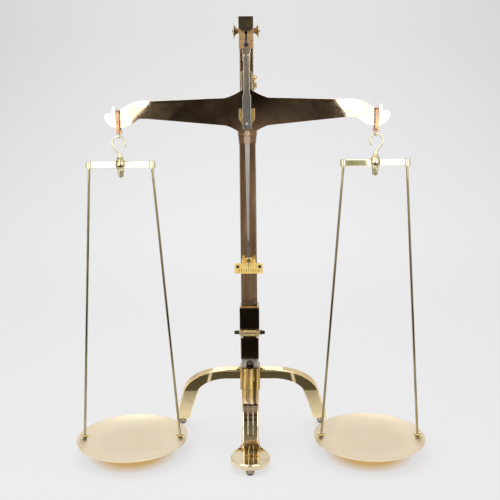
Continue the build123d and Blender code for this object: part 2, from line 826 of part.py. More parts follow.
# The pinion is cut on the spindle, with one tooth centred on the rack side at rest
tooth_half = tooth_share * math.pi / pinion_teeth
spindle_shoulder = spindle_reach - spindle_square_length
root_radius = pitch_radius - dedendum
with BuildPart() as spindle:
    round_x(-spindle_reach, spindle_shoulder, spindle_y, spindle_z, spindle_radius)
    round_x(key_width / 2 + bush_length + hang_gap, spindle_shoulder, spindle_y, spindle_z,
            spindle_collar_radius)
    block(spindle_shoulder, spindle_reach, spindle_y - spindle_square / 2, spindle_y + spindle_square / 2,
          spindle_z - spindle_square / 2, spindle_z + spindle_square / 2)
    with BuildSketch(Plane(origin=(-pinion_half_length, spindle_y, spindle_z), x_dir=(0, 1, 0),
                           z_dir=(1, 0, 0))):
        Circle(root_radius)
        for tooth in range(pinion_teeth):
            angle = 2 * math.pi * tooth / pinion_teeth
            points = []
            for radius, spread in ((root_radius - rack_mesh_gap, tooth_half * tooth_root_swell),
                                   (pitch_radius, tooth_half), (pinion_tip, tooth_half * tooth_tip_share)):
                points.append((radius * math.cos(angle - spread), radius * math.sin(angle - spread)))
                points.insert(0, (radius * math.cos(angle + spread), radius * math.sin(angle + spread)))
            with BuildLine():
                Polyline(*points, close=True)
            make_face()
    extrude(amount=2 * pinion_half_length)
save(spindle.part, "spindle")

# Head block with its apron, screws, yoke, cross bolt and thumb nuts

head_top = head_bottom + head_height
head_front = beam_y - yoke_front - hang_gap - apron_thick
head_back = column_y + inner_side / 2 + head_back_lap
yoke_screw_y = beam_y + (yoke_gap + yoke_back) / 2
head_screw_spots = ((0, column_y), (-head_screw_x, yoke_screw_y), (head_screw_x, yoke_screw_y))
head_seat_z = head_top - head_screw_head_height
plug_half = inner_bore / 2 - seat_gap
with BuildPart() as head_block:
    block(-head_width / 2, head_width / 2, head_front, head_back, head_bottom, head_top)
    with BuildSketch(facing(head_front + apron_thick)):
        with BuildLine():
            Polyline((-head_width / 2, head_bottom), (-head_width / 2, head_top),
                     (head_width / 2, head_top), (head_width / 2, head_bottom))
            ThreePointArc((head_width / 2, head_bottom), (0, head_bottom - apron_sag),
                          (-head_width / 2, head_bottom))
        make_face()
    extrude(amount=apron_thick)
    block(-plug_half, plug_half, column_y - plug_half, column_y + plug_half, head_bottom - head_plug,
          head_bottom)
    for spot_x, spot_y in head_screw_spots:
        round_z(spot_x, spot_y, head_bottom - head_plug, head_top, head_screw_radius + seat_gap,
                Mode.SUBTRACT)
        round_z(spot_x, spot_y, head_seat_z, head_top, head_screw_head + seat_gap, Mode.SUBTRACT)
save(head_block.part, "head_block")

with BuildPart() as head_screws:
    for spot_x, spot_y in head_screw_spots:
        round_z(spot_x, spot_y, head_bottom - head_screw_reach, head_seat_z, head_screw_radius)
        round_z(spot_x, spot_y, head_seat_z, head_top, head_screw_head)
        block(spot_x - head_screw_head, spot_x + head_screw_head, spot_y - head_slot_half,
              spot_y + head_slot_half, head_top - head_slot_depth, head_top, Mode.SUBTRACT)
save(head_screws.part, "head_screws")

eye_top = pin_height + shear_top_half
with BuildPart() as yoke:
    block(-yoke_width / 2, yoke_width / 2, beam_y - yoke_front, beam_y + yoke_back, yoke_bottom, head_bottom)
    block(-yoke_slot / 2, yoke_slot / 2, beam_y - yoke_front, beam_y + yoke_back, pin_height, head_bottom,
          Mode.SUBTRACT)
    block(-yoke_width / 2, yoke_width / 2, beam_y - yoke_gap, beam_y + yoke_gap, yoke_bottom,
          eye_top + yoke_eye_room, Mode.SUBTRACT)
    round_y(0, beam_y - yoke_front, beam_y + yoke_back, pin_height, pin_radius + turn_gap, Mode.SUBTRACT)
    round_x(-yoke_width / 2, yoke_width / 2, beam_y, cross_bolt_height, cross_bolt_radius + turn_gap,
            Mode.SUBTRACT)
    block(-yoke_width / 2, yoke_width / 2, beam_y - yoke_front, beam_y - yoke_front + yoke_band_depth,
          cross_bolt_height - yoke_band_drop, head_bottom, Mode.SUBTRACT)
    for spot_x in (-head_screw_x, head_screw_x):
        round_z(spot_x, yoke_screw_y, head_bottom - head_screw_reach - seat_gap, head_bottom,
                head_screw_radius + seat_gap, Mode.SUBTRACT)
save(yoke.part, "yoke")

with BuildPart() as hanger_pin:
    round_y(0, beam_y - yoke_front - pin_reach, beam_y + yoke_back + pin_reach, pin_height, pin_radius)
    chamfer(hanger_pin.edges().filter_by(GeomType.CIRCLE), pin_chamfer)
save(hanger_pin.part, "hanger_pin")

with BuildPart() as cross_bolt:
    round_x(-cross_bolt_reach, cross_bolt_reach, beam_y, cross_bolt_height, cross_bolt_radius)
save(cross_bolt.part, "cross_bolt")


def thumb_nut(side):
    """Trumpet-shaped thumb nut on one end of the cross bolt."""
    disc_from = nut_outer - nut_disc_thick
    bore = cross_bolt_radius + turn_gap
    with BuildPart() as nut:
        with BuildSketch(facing(beam_y, 0, cross_bolt_height)):
            with BuildLine():
                Polyline((side * nut_inner, nut_neck_radius), (side * nut_inner, bore),
                         (side * nut_outer, bore), (side * nut_outer, nut_radius * nut_cup_share),
                         (side * (nut_outer - nut_edge), nut_radius),
                         (side * (disc_from + nut_rim_start), nut_radius))
                ThreePointArc((side * (disc_from + nut_rim_start), nut_radius),
                              (side * (disc_from - nut_flare_run), nut_radius * nut_flare_share),
                              (side * nut_inner, nut_neck_radius))
            make_face()
        revolve(axis=Axis((0, beam_y, cross_bolt_height), (1, 0, 0)))
    return nut.part


save(thumb_nut(-1), "left_thumb_nut")
save(thumb_nut(1), "right_thumb_nut")

# Shears: bridge with an eye, front and rear plates, bearings, screws and tie

eye_half = yoke_gap - 2 * seat_gap
bridge_top_z = yoke_bottom - bridge_top_drop
with BuildPart() as shear_bridge:
    round_y(0, beam_y - eye_half, beam_y + eye_half, pin_height, shear_top_half)
    block(-bridge_half, bridge_half, beam_y - eye_half, beam_y + eye_half, bridge_bottom, pin_height)
    block(-bridge_half, bridge_half, beam_y - shear_inner, beam_y + shear_inner, bridge_bottom,
          bridge_top_z)
    round_y(0, beam_y - eye_half, beam_y + eye_half, pin_height, pin_radius + turn_gap, Mode.SUBTRACT)
    for screw_x in (-shear_screw_x, shear_screw_x):
        round_y(screw_x, beam_y - shear_inner, beam_y + shear_inner, shear_screw_z,
                shear_screw_shank + turn_gap, Mode.SUBTRACT)
save(shear_bridge.part, "shear_bridge")

shear_outer = shear_inner + shear_thick
window_top = knife_height + window_over_knife
window_shoulder = knife_height + window_shoulder_rise
window_bottom = knife_height - window_below_knife
window_shape = [
    (-window_half, window_top),
    (window_half, window_top),
    (window_half, window_shoulder),
    (window_foot_half, window_bottom),
    (-window_foot_half, window_bottom),
    (-window_half, window_shoulder),
]
bearing_seat_bottom = knife_height - bearing_seat_drop
pocket_top = knife_height + centre_knife_body + bearing_pocket_room
tie_z = window_bottom + tie_rise


def shear_plate(front, lower_half, lower_top):
    """One shear plate with the pocket that holds its bearing, open to the beam."""
    inner = beam_y - shear_inner if front else beam_y + shear_inner
    outer = beam_y - shear_inner - shear_thick if front else beam_y + shear_inner + shear_thick
    pocket = inner - bearing_pocket_depth if front else inner + bearing_pocket_depth
    with BuildPart() as plate:
        with BuildSketch(facing(max(inner, outer))):
            with BuildLine():
                Polyline((0, shear_bottom), (lower_half, shear_bottom), (lower_half, lower_top),
                         (shear_stem_half, lower_top + shear_step), (shear_stem_half, shear_stem_top))
                TangentArc((shear_stem_half, shear_stem_top), (shear_top_half, shear_top), tangent=(0, 1))
                Polyline((shear_top_half, shear_top), (0, shear_top), (0, shear_bottom))
            make_face()
            mirror(about=Plane.YZ)
        extrude(amount=shear_thick)
        block(-bearing_pocket_half, bearing_pocket_half, min(inner, pocket), max(inner, pocket),
              bearing_seat_bottom, pocket_top, Mode.SUBTRACT)
        for screw_x in (-shear_screw_x, shear_screw_x):
            round_y(screw_x, min(inner, outer), max(inner, outer), shear_screw_z,
                    shear_screw_shank + turn_gap, Mode.SUBTRACT)
        round_y(0, min(inner, outer), max(inner, outer), tie_z, tie_radius + turn_gap, Mode.SUBTRACT)
    return plate.part


save(shear_plate(True, shear_foot_half, shear_foot_top), "front_shear")
save(shear_plate(False, rear_shear_half, rear_shear_top), "rear_shear")

with BuildPart() as shear_bearings:
    for front in (True, False):
        seat_near = beam_y - shear_inner - bearing_pocket_depth if front else beam_y + shear_inner
        seat_far = seat_near + bearing_pocket_depth
        block(-bearing_pocket_half + seat_gap, bearing_pocket_half - seat_gap, seat_near + seat_gap,
              seat_far - seat_gap, bearing_seat_bottom, knife_height - turn_gap)
        round_y(0, seat_near, seat_far, tie_z, tie_radius + turn_gap, Mode.SUBTRACT)
save(shear_bearings.part, "shear_bearings")

with BuildPart() as shear_screws:
    for screw_x in (-shear_screw_x, shear_screw_x):
        round_y(screw_x, beam_y - shear_outer, beam_y - hang_gap, shear_screw_z, shear_screw_shank)
        round_y(screw_x, beam_y + hang_gap, beam_y + shear_outer, shear_screw_z, shear_screw_shank)
        round_y(screw_x, beam_y - shear_outer - shear_screw_head, beam_y - shear_outer, shear_screw_z,
                shear_screw_radius)
        round_y(screw_x, beam_y + shear_outer, beam_y + shear_outer + shear_screw_head, shear_screw_z,
                shear_screw_radius)
save(shear_screws.part, "shear_screws")

with BuildPart() as shear_tie:
    round_y(0, beam_y - shear_outer, beam_y + shear_outer, tie_z, tie_radius)
save(shear_tie.part, "shear_tie")

# Guide bracket on the inner column and its knobbed screw

inner_front = column_y - inner_side / 2
guide_front = beam_y + shear_outer + guide_front_gap
guide_y = (guide_front + inner_front) / 2
guide_bottom = knife_height + guide_over_knife
guide_top = guide_bottom + guide_height
with BuildPart() as guide_bracket:
    block(guide_x - guide_half, guide_x + guide_half, guide_front, inner_front, guide_bottom, guide_top)
    chamfer(guide_bracket.edges().filter_by(Axis.X), guide_chamfer)
    round_z(guide_x, guide_y, guide_bottom, guide_top, guide_screw_radius + turn_gap, Mode.SUBTRACT)
save(guide_bracket.part, "guide_bracket")

knob_bottom = guide_top + guide_knob_rise
knob_middle = knob_bottom + guide_knob_radius * guide_knob_flat
with BuildPart() as guide_screw:
    with Locations((guide_x, guide_y, knob_middle)):
        Sphere(guide_knob_radius)
    with Locations((guide_x, guide_y, knob_bottom)):
        Cylinder(guide_knob_radius, guide_knob_radius, align=(Align.CENTER, Align.CENTER, Align.MAX),
                 mode=Mode.SUBTRACT)
    round_z(guide_x, guide_y, guide_bottom - guide_screw_below, knob_middle, guide_screw_radius)
save(guide_screw.part, "guide_screw")

# Beam: one plate with a window for the knife and a notch over each end knife

notch_floor = knife_height - end_knife_slope
notch_outer = beam_reach + notch_half
crown_end = (beam_crown_half, knife_height + beam_crown - beam_crown_fall)
shoulder = (beam_shoulder_x, knife_height + beam_shoulder_rise)
neck_start = (beam_reach - beam_neck_run, knife_height + beam_neck_rise)
lip = (beam_reach - notch_half, knife_height + beam_notch_lip)
tip_start = (notch_outer + beam_tip_flat, knife_height + beam_tip_rise)
tip_under = (notch_outer + beam_tip_under[0], knife_height + beam_tip_under[1])
heel_inner = (beam_reach - beam_heel_inner[0], knife_height - beam_heel_inner[1])
throat = (beam_reach - beam_throat[0], knife_height + beam_throat[1])
throat_end = (beam_reach - beam_throat_end[0], knife_height + beam_throat_end[1])
belly = (beam_belly_x, knife_height - beam_belly_drop)
keel_start = (beam_keel_half, knife_height - beam_keel_drop)
keel_end = (0, knife_height - beam_keel)
with BuildPart() as beam:
    with BuildSketch(facing(beam_y + beam_thick / 2)):
        with BuildLine():
            Line((0, knife_height + beam_crown), crown_end)
            ThreePointArc(crown_end, (beam_crown_sweep[0], knife_height + beam_crown_sweep[1]), shoulder)
            Line(shoulder, neck_start)
            ThreePointArc(neck_start,
                          (beam_reach - beam_neck_sweep[0], knife_height + beam_neck_sweep[1]), lip)
            Polyline(lip, (beam_reach - notch_half, notch_floor), (notch_outer, notch_floor),
                     (notch_outer, knife_height + beam_tab_rise),
                     (notch_outer + beam_tab_width, knife_height + beam_tab_rise),
                     (notch_outer + beam_tab_foot, knife_height + beam_tip_rise), tip_start)
            ThreePointArc(tip_start, (notch_outer + beam_tip_nose[0], knife_height + beam_tip_nose[1]),
                          tip_under)
            ThreePointArc(tip_under, (notch_outer + beam_heel[0], knife_height - beam_heel[1]), heel_inner)
            ThreePointArc(heel_inner,
                          (beam_reach - beam_throat_sweep[0], knife_height - beam_throat_sweep[1]), throat)
            ThreePointArc(throat, (beam_reach - beam_throat_top[0], knife_height + beam_throat_top[1]),
                          throat_end)
            Polyline(throat_end, (beam_reach - beam_belly_run, knife_height + beam_belly_rise), belly)
            ThreePointArc(belly, (beam_keel_sweep[0], knife_height - beam_keel_sweep[1]), keel_start)
            ThreePointArc(keel_start, (beam_keel_round[0], knife_height - beam_keel_round[1]), keel_end)
            Line(keel_end, (0, knife_height + beam_crown))
        make_face()
        mirror(about=Plane.YZ)
    extrude(amount=beam_thick)
    with BuildSketch(facing(beam_y + beam_thick / 2)):
        with BuildLine():
            Polyline(*window_shape, close=True)
        make_face()
    extrude(amount=beam_thick, mode=Mode.SUBTRACT)
    for side in (-1, 1):
        block(side * beam_reach - knife_half, side * beam_reach + knife_half, beam_y - beam_thick / 2,
              beam_y + beam_thick / 2, knife_height - end_knife_body, notch_floor, Mode.SUBTRACT)
save(beam.part, "beam")


def knife_shape(x, edge_z, slope, body, up):
    """Outline of a knife: a wedge with its edge up or down, on a square body."""
    sign = -1 if up else 1
    return [(x, edge_z), (x + knife_half, edge_z + sign * slope), (x + knife_half, edge_z + sign * body),
            (x - knife_half, edge_z + sign * body), (x - knife_half, edge_z + sign * slope)]


centre_shape = knife_shape(0, knife_height, centre_knife_slope, centre_knife_body, False)
with BuildPart() as centre_knife:
    with BuildSketch(facing(beam_y + centre_knife_reach)):
        with BuildLine():
            Polyline(*centre_shape, close=True)
        make_face()
    extrude(amount=2 * centre_knife_reach)
save(centre_knife.part, "centre_knife")

knife_block_half = beam_thick / 2 - knife_block_inset
with BuildPart() as knife_block:
    with BuildSketch(facing(beam_y + knife_block_half)):
        with BuildLine():
            Polyline(*window_shape, close=True)
        make_face()
    extrude(amount=2 * knife_block_half)
    block(-knife_block_slot, knife_block_slot, beam_y - knife_block_half, beam_y + knife_block_half,
          window_bottom, knife_height + centre_knife_slope - knife_block_lap, Mode.SUBTRACT)
    with BuildSketch(facing(beam_y + centre_knife_reach)):
        with BuildLine():
            Polyline(*centre_shape, close=True)
        make_face()
    extrude(amount=2 * centre_knife_reach, mode=Mode.SUBTRACT)
save(knife_block.part, "knife_block")

with BuildPart() as end_knives:
    for side in (-1, 1):
        with BuildSketch(facing(beam_y + beam_thick / 2)):
            with BuildLine():
                Polyline(*knife_shape(side * beam_reach, knife_height, end_knife_slope, end_knife_body,
                                      True), close=True)
            make_face()
        extrude(amount=beam_thick)
save(end_knives.part, "end_knives")

# Pointer and its moulded socket on the beam's lower tip

pointer_face = beam_y - beam_thick / 2
pointer_mid = pointer_face - pointer_socket_thick / 2
ogee_top = shear_bottom - ogee_gap
pointer_tip = plate_top - pointer_lap
pointer_block_bottom = knife_height - pointer_block_drop
pointer_block_top = pointer_block_bottom + pointer_block_height
tenon_top = pointer_block_bottom + pointer_tenon
with BuildPart() as pointer_socket:
    with BuildSketch(facing(pointer_face)):
        with BuildLine():
            Line((0, ogee_top), (ogee_neck, ogee_top))
            ThreePointArc((ogee_neck, ogee_top), (ogee_sweep[0], ogee_top - ogee_sweep[1]),
                          (ogee_lip[0], ogee_top - ogee_lip[1]))
            Polyline((ogee_lip[0], ogee_top - ogee_lip[1]), (ogee_stem[0], ogee_top - ogee_stem[1]),
                     (ogee_stem[0], pointer_block_top),
                     (pointer_block_half, pointer_block_top - pointer_block_slope),
                     (pointer_block_half, pointer_block_bottom), (0, pointer_block_bottom), (0, ogee_top))
        make_face()
        mirror(about=Plane.YZ)
    extrude(amount=pointer_socket_thick)
    block(-pointer_width / 2 - turn_gap, pointer_width / 2 + turn_gap,
          pointer_mid - pointer_thick / 2 - turn_gap, pointer_mid + pointer_thick / 2 + turn_gap,
          pointer_block_bottom, tenon_top + seat_gap, Mode.SUBTRACT)
save(pointer_socket.part, "pointer_socket")

with BuildPart() as pointer:
    with BuildSketch(facing(pointer_mid + pointer_thick / 2)):
        with BuildLine():
            Polyline((-pointer_width / 2, tenon_top), (pointer_width / 2, tenon_top),
                     (pointer_width / 2, pointer_block_bottom - pointer_shoulder),
                     (pointer_tip_width / 2, pointer_tip), (-pointer_tip_width / 2, pointer_tip),
                     (-pointer_width / 2, pointer_block_bottom - pointer_shoulder), close=True)
        make_face()
    extrude(amount=pointer_thick)
save(pointer.part, "pointer")

# Shackles, links, hooks and pan hangers, the same on both sides

strap_outer = strap_inner + strap_thick
strap_top = knife_height + strap_over_knife
bridge_z = knife_height - strap_below_knife
bridge_top = bridge_z + bridge_thick
link_pin_z = bridge_z - link_pin_drop
link_ring_z = link_pin_z - link_ring_drop
hook_wire_z = link_ring_z - link_ring_radius + link_wire_radius + hook_wire_radius + hang_gap
hook_centre_z = hook_wire_z - hook_radius
hook_neck_top = hook_centre_z - hook_shank
hook_neck_bottom = hook_neck_top - hook_neck_height
baluster_top = hook_neck_bottom - hang_gap
baluster_bottom = baluster_top - baluster_height
bar_middle = baluster_top - bar_drop
bar_bottom = bar_middle - bar_height / 2
bar_top = bar_middle + bar_height / 2
bearing_bottom = knife_height + bearing_rise
bearing_top = knife_height + bearing_height
rod_head_z = bar_bottom - bar_foot_height
rod_foot_x = pan_radius - rod_foot_inset
rod_foot_z = pan_rim + rod_foot_rise
ball_z = rod_foot_z - stud_ball_drop


def shackle(side):
    """Closed strap loop that rides on an end knife, with two lugs under its bridge."""
    x = side * beam_reach
    with BuildPart() as loop:
        block(x - strap_half, x + strap_half, beam_y - strap_outer, beam_y + strap_outer, bridge_z,
              strap_top)
        block(x - strap_half, x + strap_half, beam_y - strap_inner, beam_y + strap_inner, bridge_top,
              bearing_top, Mode.SUBTRACT)
        block(x - bearing_half - turn_gap, x + bearing_half + turn_gap, beam_y - strap_outer,
              beam_y + strap_outer, bearing_bottom, bearing_top, Mode.SUBTRACT)
        for hand in (-1, 1):
            near = x + hand * lug_inner
            far = x + hand * lug_outer
            block(min(near, far), max(near, far), beam_y - lug_half_depth, beam_y + lug_half_depth,
                  bridge_z - lug_drop, bridge_z)
        block(x - lug_outer, x + lug_outer, beam_y - lug_half_depth, beam_y + lug_half_depth,
              bridge_z, bridge_top - lug_root)
        round_x(x - lug_outer, x + lug_outer, beam_y, link_pin_z, link_pin_radius, Mode.SUBTRACT)
    return loop.part


def shackle_bearing(side):
    """Steel bearing in the shackle's head, resting on the end knife, and the link's pin below."""
    x = side * beam_reach
    with BuildPart() as bearing:
        block(x - bearing_half, x + bearing_half, beam_y - strap_outer - bearing_proud,
              beam_y + strap_outer + bearing_proud, bearing_bottom + turn_gap, bearing_top - turn_gap)
        block(x - bearing_half, x + bearing_half, beam_y - strap_inner + seat_gap,
              beam_y + strap_inner - seat_gap, knife_height + turn_gap, bearing_top - turn_gap)
        round_x(x - lug_outer, x + lug_outer, beam_y, link_pin_z, link_pin_radius)
        for hand in (-1, 1):
            near = x + hand * lug_outer
            far = x + hand * (lug_outer + link_head_thick)
            round_x(min(near, far), max(near, far), beam_y, link_pin_z, link_pin_radius + link_head_proud)
    return bearing.part


def link(side):
    """Eye on the shackle's pin with a ring below it that carries the hook."""
    x = side * beam_reach
    with BuildPart() as ring:
        round_x(x - link_eye_half, x + link_eye_half, beam_y, link_pin_z, link_eye_radius)
        with Locations(Location((x, beam_y, link_ring_z), (0, 90, 0))):
            Torus(link_ring_radius, link_wire_radius)
        round_x(x - link_eye_half, x + link_eye_half, beam_y, link_pin_z, link_pin_radius + turn_gap,
                Mode.SUBTRACT)
    return ring.part


def hook(side):
    """Open hook with a tapered tip towards the pillar, and the neck and pin that the hanger turns on."""
    x = side * beam_reach
    ring_x = x + side * hook_offset
    turn = math.radians(hook_tip_angle)
    tip = (ring_x - side * hook_radius * math.cos(turn), hook_centre_z - hook_radius * math.sin(turn))
    far = (ring_x + side * hook_radius * math.cos(turn), hook_centre_z - hook_radius * math.sin(turn))
    with BuildPart() as wire:
        with BuildLine(facing(beam_y)) as route:
            ring = ThreePointArc(tip, (ring_x, hook_wire_z), far)
            TangentArc(far, (x, hook_neck_top - hook_shank_sink), tangent=ring % 1)
        with BuildSketch(Plane(origin=route.wires()[0] @ 0, z_dir=route.wires()[0] % 0)):
            Circle(hook_wire_radius)
        sweep(path=route.wires()[0])
        with Locations((tip[0], beam_y, tip[1])):
            Sphere(hook_wire_radius)
        round_z(x, beam_y, hook_neck_bottom, hook_neck_top, hook_neck_radius)
        round_z(x, beam_y, baluster_top - swivel_length, hook_neck_top, swivel_radius)
    return wire.part


def baluster(side):
    """Turned baluster, slotted for the crossbar, with a threaded stud below it."""
    x = side * beam_reach
    waist = (baluster_waist[0], baluster_top - baluster_waist[1])
    stud_end_z = baluster_bottom - nut_bore_depth + seat_gap
    with BuildPart() as turned:
        with BuildSketch(facing(beam_y, x)):
            with BuildLine():
                Polyline((0, baluster_top), (baluster_neck, baluster_top),
                         (baluster_collar[0], baluster_top - baluster_collar[1]), waist)
                ThreePointArc(waist, (baluster_radius, bar_middle + baluster_belly_rise),
                              (baluster_foot, baluster_bottom))
                Polyline((baluster_foot, baluster_bottom), (stud_radius, baluster_bottom),
                         (stud_radius, stud_end_z), (0, stud_end_z), (0, baluster_top))
            make_face()
        revolve(axis=Axis((x, beam_y, 0), (0, 0, 1)))
        round_z(x, beam_y, baluster_top - swivel_length - hang_gap, baluster_top, swivel_radius + turn_gap,
                Mode.SUBTRACT)
        block(x - baluster_slot_half, x + baluster_slot_half, beam_y - bar_depth / 2 - turn_gap,
              beam_y + bar_depth / 2 + turn_gap, bar_bottom - turn_gap, bar_top + turn_gap, Mode.SUBTRACT)
    return turned.part


def baluster_nut(side):
    """Turned nut with a pointed drop, under the baluster."""
    x = side * beam_reach
    nut_top = baluster_bottom - seat_gap
    nut_foot = nut_top - nut_drop
    bore_radius = stud_radius + turn_gap
    bore_end = nut_top - nut_bore_depth
    with BuildPart() as drop:
        with BuildSketch(facing(beam_y, x)):
            with BuildLine():
                shoulder = (nut_shoulder[0], nut_top - nut_shoulder[1])
                Polyline((bore_radius, nut_top), (baluster_foot, nut_top), shoulder)
                ThreePointArc(shoulder, (nut_belly[0], nut_top - nut_belly[1]), (nut_waist_radius, nut_foot))
                ThreePointArc((nut_waist_radius, nut_foot), (nut_tip[0], nut_foot - nut_tip[1]),
                              (nut_tip_radius, nut_foot - nut_tip_drop))
                Polyline((nut_tip_radius, nut_foot - nut_tip_drop), (0, nut_foot - nut_tip_drop),
                         (0, bore_end), (bore_radius, bore_end), (bore_radius, nut_top))
            make_face()
        revolve(axis=Axis((x, beam_y, 0), (0, 0, 1)))
    return drop.part


def rod_axis(x, hand):
    """Plane across a rod at the mouth of its ferrule, facing down the rod, and the rod's length."""
    head = Vector(x + hand * bar_half, beam_y, rod_head_z)
    foot = Vector(x + hand * rod_foot_x, beam_y, rod_foot_z)
    return Plane(origin=head, z_dir=foot - head), (foot - head).length


def crossbar(side):
    """Flat bar through the baluster, with an upright ferrule at each end."""
    x = side * beam_reach
    with BuildPart() as bar:
        block(x - bar_half, x + bar_half, beam_y - bar_depth / 2, beam_y + bar_depth / 2, bar_bottom,
              bar_top)
        chamfer(bar.edges().filter_by(Axis.X), bar_chamfer)
        for hand in (-1, 1):
            end_x = x + hand * bar_half
            round_z(end_x, beam_y, bar_bottom, bar_top, bar_boss_radius)
            round_z(end_x, beam_y, rod_head_z, bar_bottom, bar_boss_radius * bar_foot_share)
            round_z(end_x, beam_y, bar_top, bar_top + bar_cap_height, bar_boss_radius * bar_cap_share)
            across, length = rod_axis(x, hand)
            with BuildSketch(across.offset(-rod_socket - seat_gap)):
                Circle(rod_radius + seat_gap)
            extrude(amount=2 * rod_socket, mode=Mode.SUBTRACT)
    return bar.part


def rods(side):
    """Pair of slender rods that spread from the crossbar to the pan."""
    x = side * beam_reach
    with BuildPart() as pair:
        for hand in (-1, 1):
            across, length = rod_axis(x, hand)
            with BuildSketch(across.offset(-rod_socket)):
                Circle(rod_radius)
            extrude(amount=length + rod_socket)
    return pair.part


bowl_run = pan_radius - pan_edge - pan_flat
bowl_rise = pan_depth - pan_wall
bowl_radius = (bowl_run ** 2 + bowl_rise ** 2) / (2 * bowl_rise)
pan_base = pan_rim - pan_depth


def pan_height(radius):
    """Height of the pan's inner face at a radius outside its flat middle."""
    run = radius - pan_flat
    return pan_base + pan_wall + bowl_radius - math.sqrt(bowl_radius ** 2 - run ** 2)


washer_z = pan_height(rod_foot_x + stud_washer_radius) + turn_gap
rivet_z = pan_height(rod_foot_x - rivet_radius) - pan_wall - turn_gap


def pan_studs(side):
    """Riveted stud with a ball top and a short cross pin, at the foot of each rod."""
    x = side * beam_reach
    with BuildPart() as pair:
        for hand in (-1, 1):
            stud_x = x + hand * rod_foot_x
            round_z(stud_x, beam_y, washer_z, washer_z + stud_washer_thick, stud_washer_radius)
            round_z(stud_x, beam_y, rivet_z - rivet_thick, ball_z, stud_shank_radius)
            round_z(stud_x, beam_y, rivet_z - rivet_thick, rivet_z, rivet_radius)
            with Locations((stud_x, beam_y, ball_z)):
                Sphere(stud_ball_radius)
            round_x(stud_x - cross_pin_reach, stud_x + cross_pin_reach, beam_y, ball_z, cross_pin_radius)
            for end in (-1, 1):
                with Locations((stud_x + end * cross_pin_reach, beam_y, ball_z)):
                    Sphere(cross_pin_ball)
    return pair.part


def pan(side):
    """Shallow dished pan with a thin upright edge, drilled for the two studs."""
    x = side * beam_reach
    bowl_end = pan_radius - pan_edge
    bowl_mid = (pan_flat + bowl_end) / 2
    with BuildPart() as dish:
        with BuildSketch(facing(beam_y, x)):
            with BuildLine():
                Line((0, pan_base), (pan_flat, pan_base))
                ThreePointArc((pan_flat, pan_base), (bowl_mid, pan_height(bowl_mid) - pan_wall),
                              (bowl_end, pan_rim - pan_wall))
                Polyline((bowl_end, pan_rim - pan_wall), (pan_radius, pan_rim - pan_wall * pan_edge_share),
                         (pan_radius, pan_rim), (bowl_end, pan_rim))
                ThreePointArc((bowl_end, pan_rim), (bowl_mid, pan_height(bowl_mid)),
                              (pan_flat, pan_base + pan_wall))
                Polyline((pan_flat, pan_base + pan_wall), (0, pan_base + pan_wall), (0, pan_base))
            make_face()
        revolve(axis=Axis((x, beam_y, 0), (0, 0, 1)))
        for hand in (-1, 1):
            round_z(x + hand * rod_foot_x, beam_y, pan_base, pan_rim, stud_shank_radius + seat_gap,
                    Mode.SUBTRACT)
    return dish.part


for side, hand in ((-1, "left"), (1, "right")):
    save(shackle(side), hand + "_shackle")
    save(shackle_bearing(side), hand + "_shackle_bearing")
    save(link(side), hand + "_link")
    save(hook(side), hand + "_hook")
    save(baluster(side), hand + "_baluster")
    save(baluster_nut(side), hand + "_baluster_nut")
    save(crossbar(side), hand + "_crossbar")
    save(rods(side), hand + "_rods")
    save(pan_studs(side), hand + "_pan_studs")
    save(pan(side), hand + "_pan")
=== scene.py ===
"""Looks of a brass beam balance on a square pillar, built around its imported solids."""

import logging
import math
from dataclasses import dataclass
from enum import Enum

import bpy
from bpy.types import Material, Node, NodeSocket, NodeTree
from mathutils import Matrix, Vector


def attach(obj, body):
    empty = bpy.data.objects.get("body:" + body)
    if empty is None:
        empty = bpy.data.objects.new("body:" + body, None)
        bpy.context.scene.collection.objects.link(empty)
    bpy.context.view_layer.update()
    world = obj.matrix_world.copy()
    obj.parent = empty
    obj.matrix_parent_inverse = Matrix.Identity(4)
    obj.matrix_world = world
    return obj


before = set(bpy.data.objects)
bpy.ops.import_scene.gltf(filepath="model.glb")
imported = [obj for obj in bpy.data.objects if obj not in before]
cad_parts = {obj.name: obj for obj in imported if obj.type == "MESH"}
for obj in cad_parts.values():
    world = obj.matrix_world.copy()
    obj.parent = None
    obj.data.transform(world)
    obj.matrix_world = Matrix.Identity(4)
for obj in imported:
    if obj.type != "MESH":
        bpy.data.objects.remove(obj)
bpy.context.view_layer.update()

log = logging.getLogger("balance")

Colour = tuple[float, float, float]
Point = tuple[float, float, float]
Span = tuple[float, float]

FLOAT = "NodeSocketFloat"
WHOLE = "NodeSocketInt"
VECTOR = "NodeSocketVector"
COLOUR = "NodeSocketColor"
GEOMETRY = "NodeSocketGeometry"

MILLIMETRE = 0.001
MICRON = 0.000001
SIDES = {"left": -1, "right": 1}


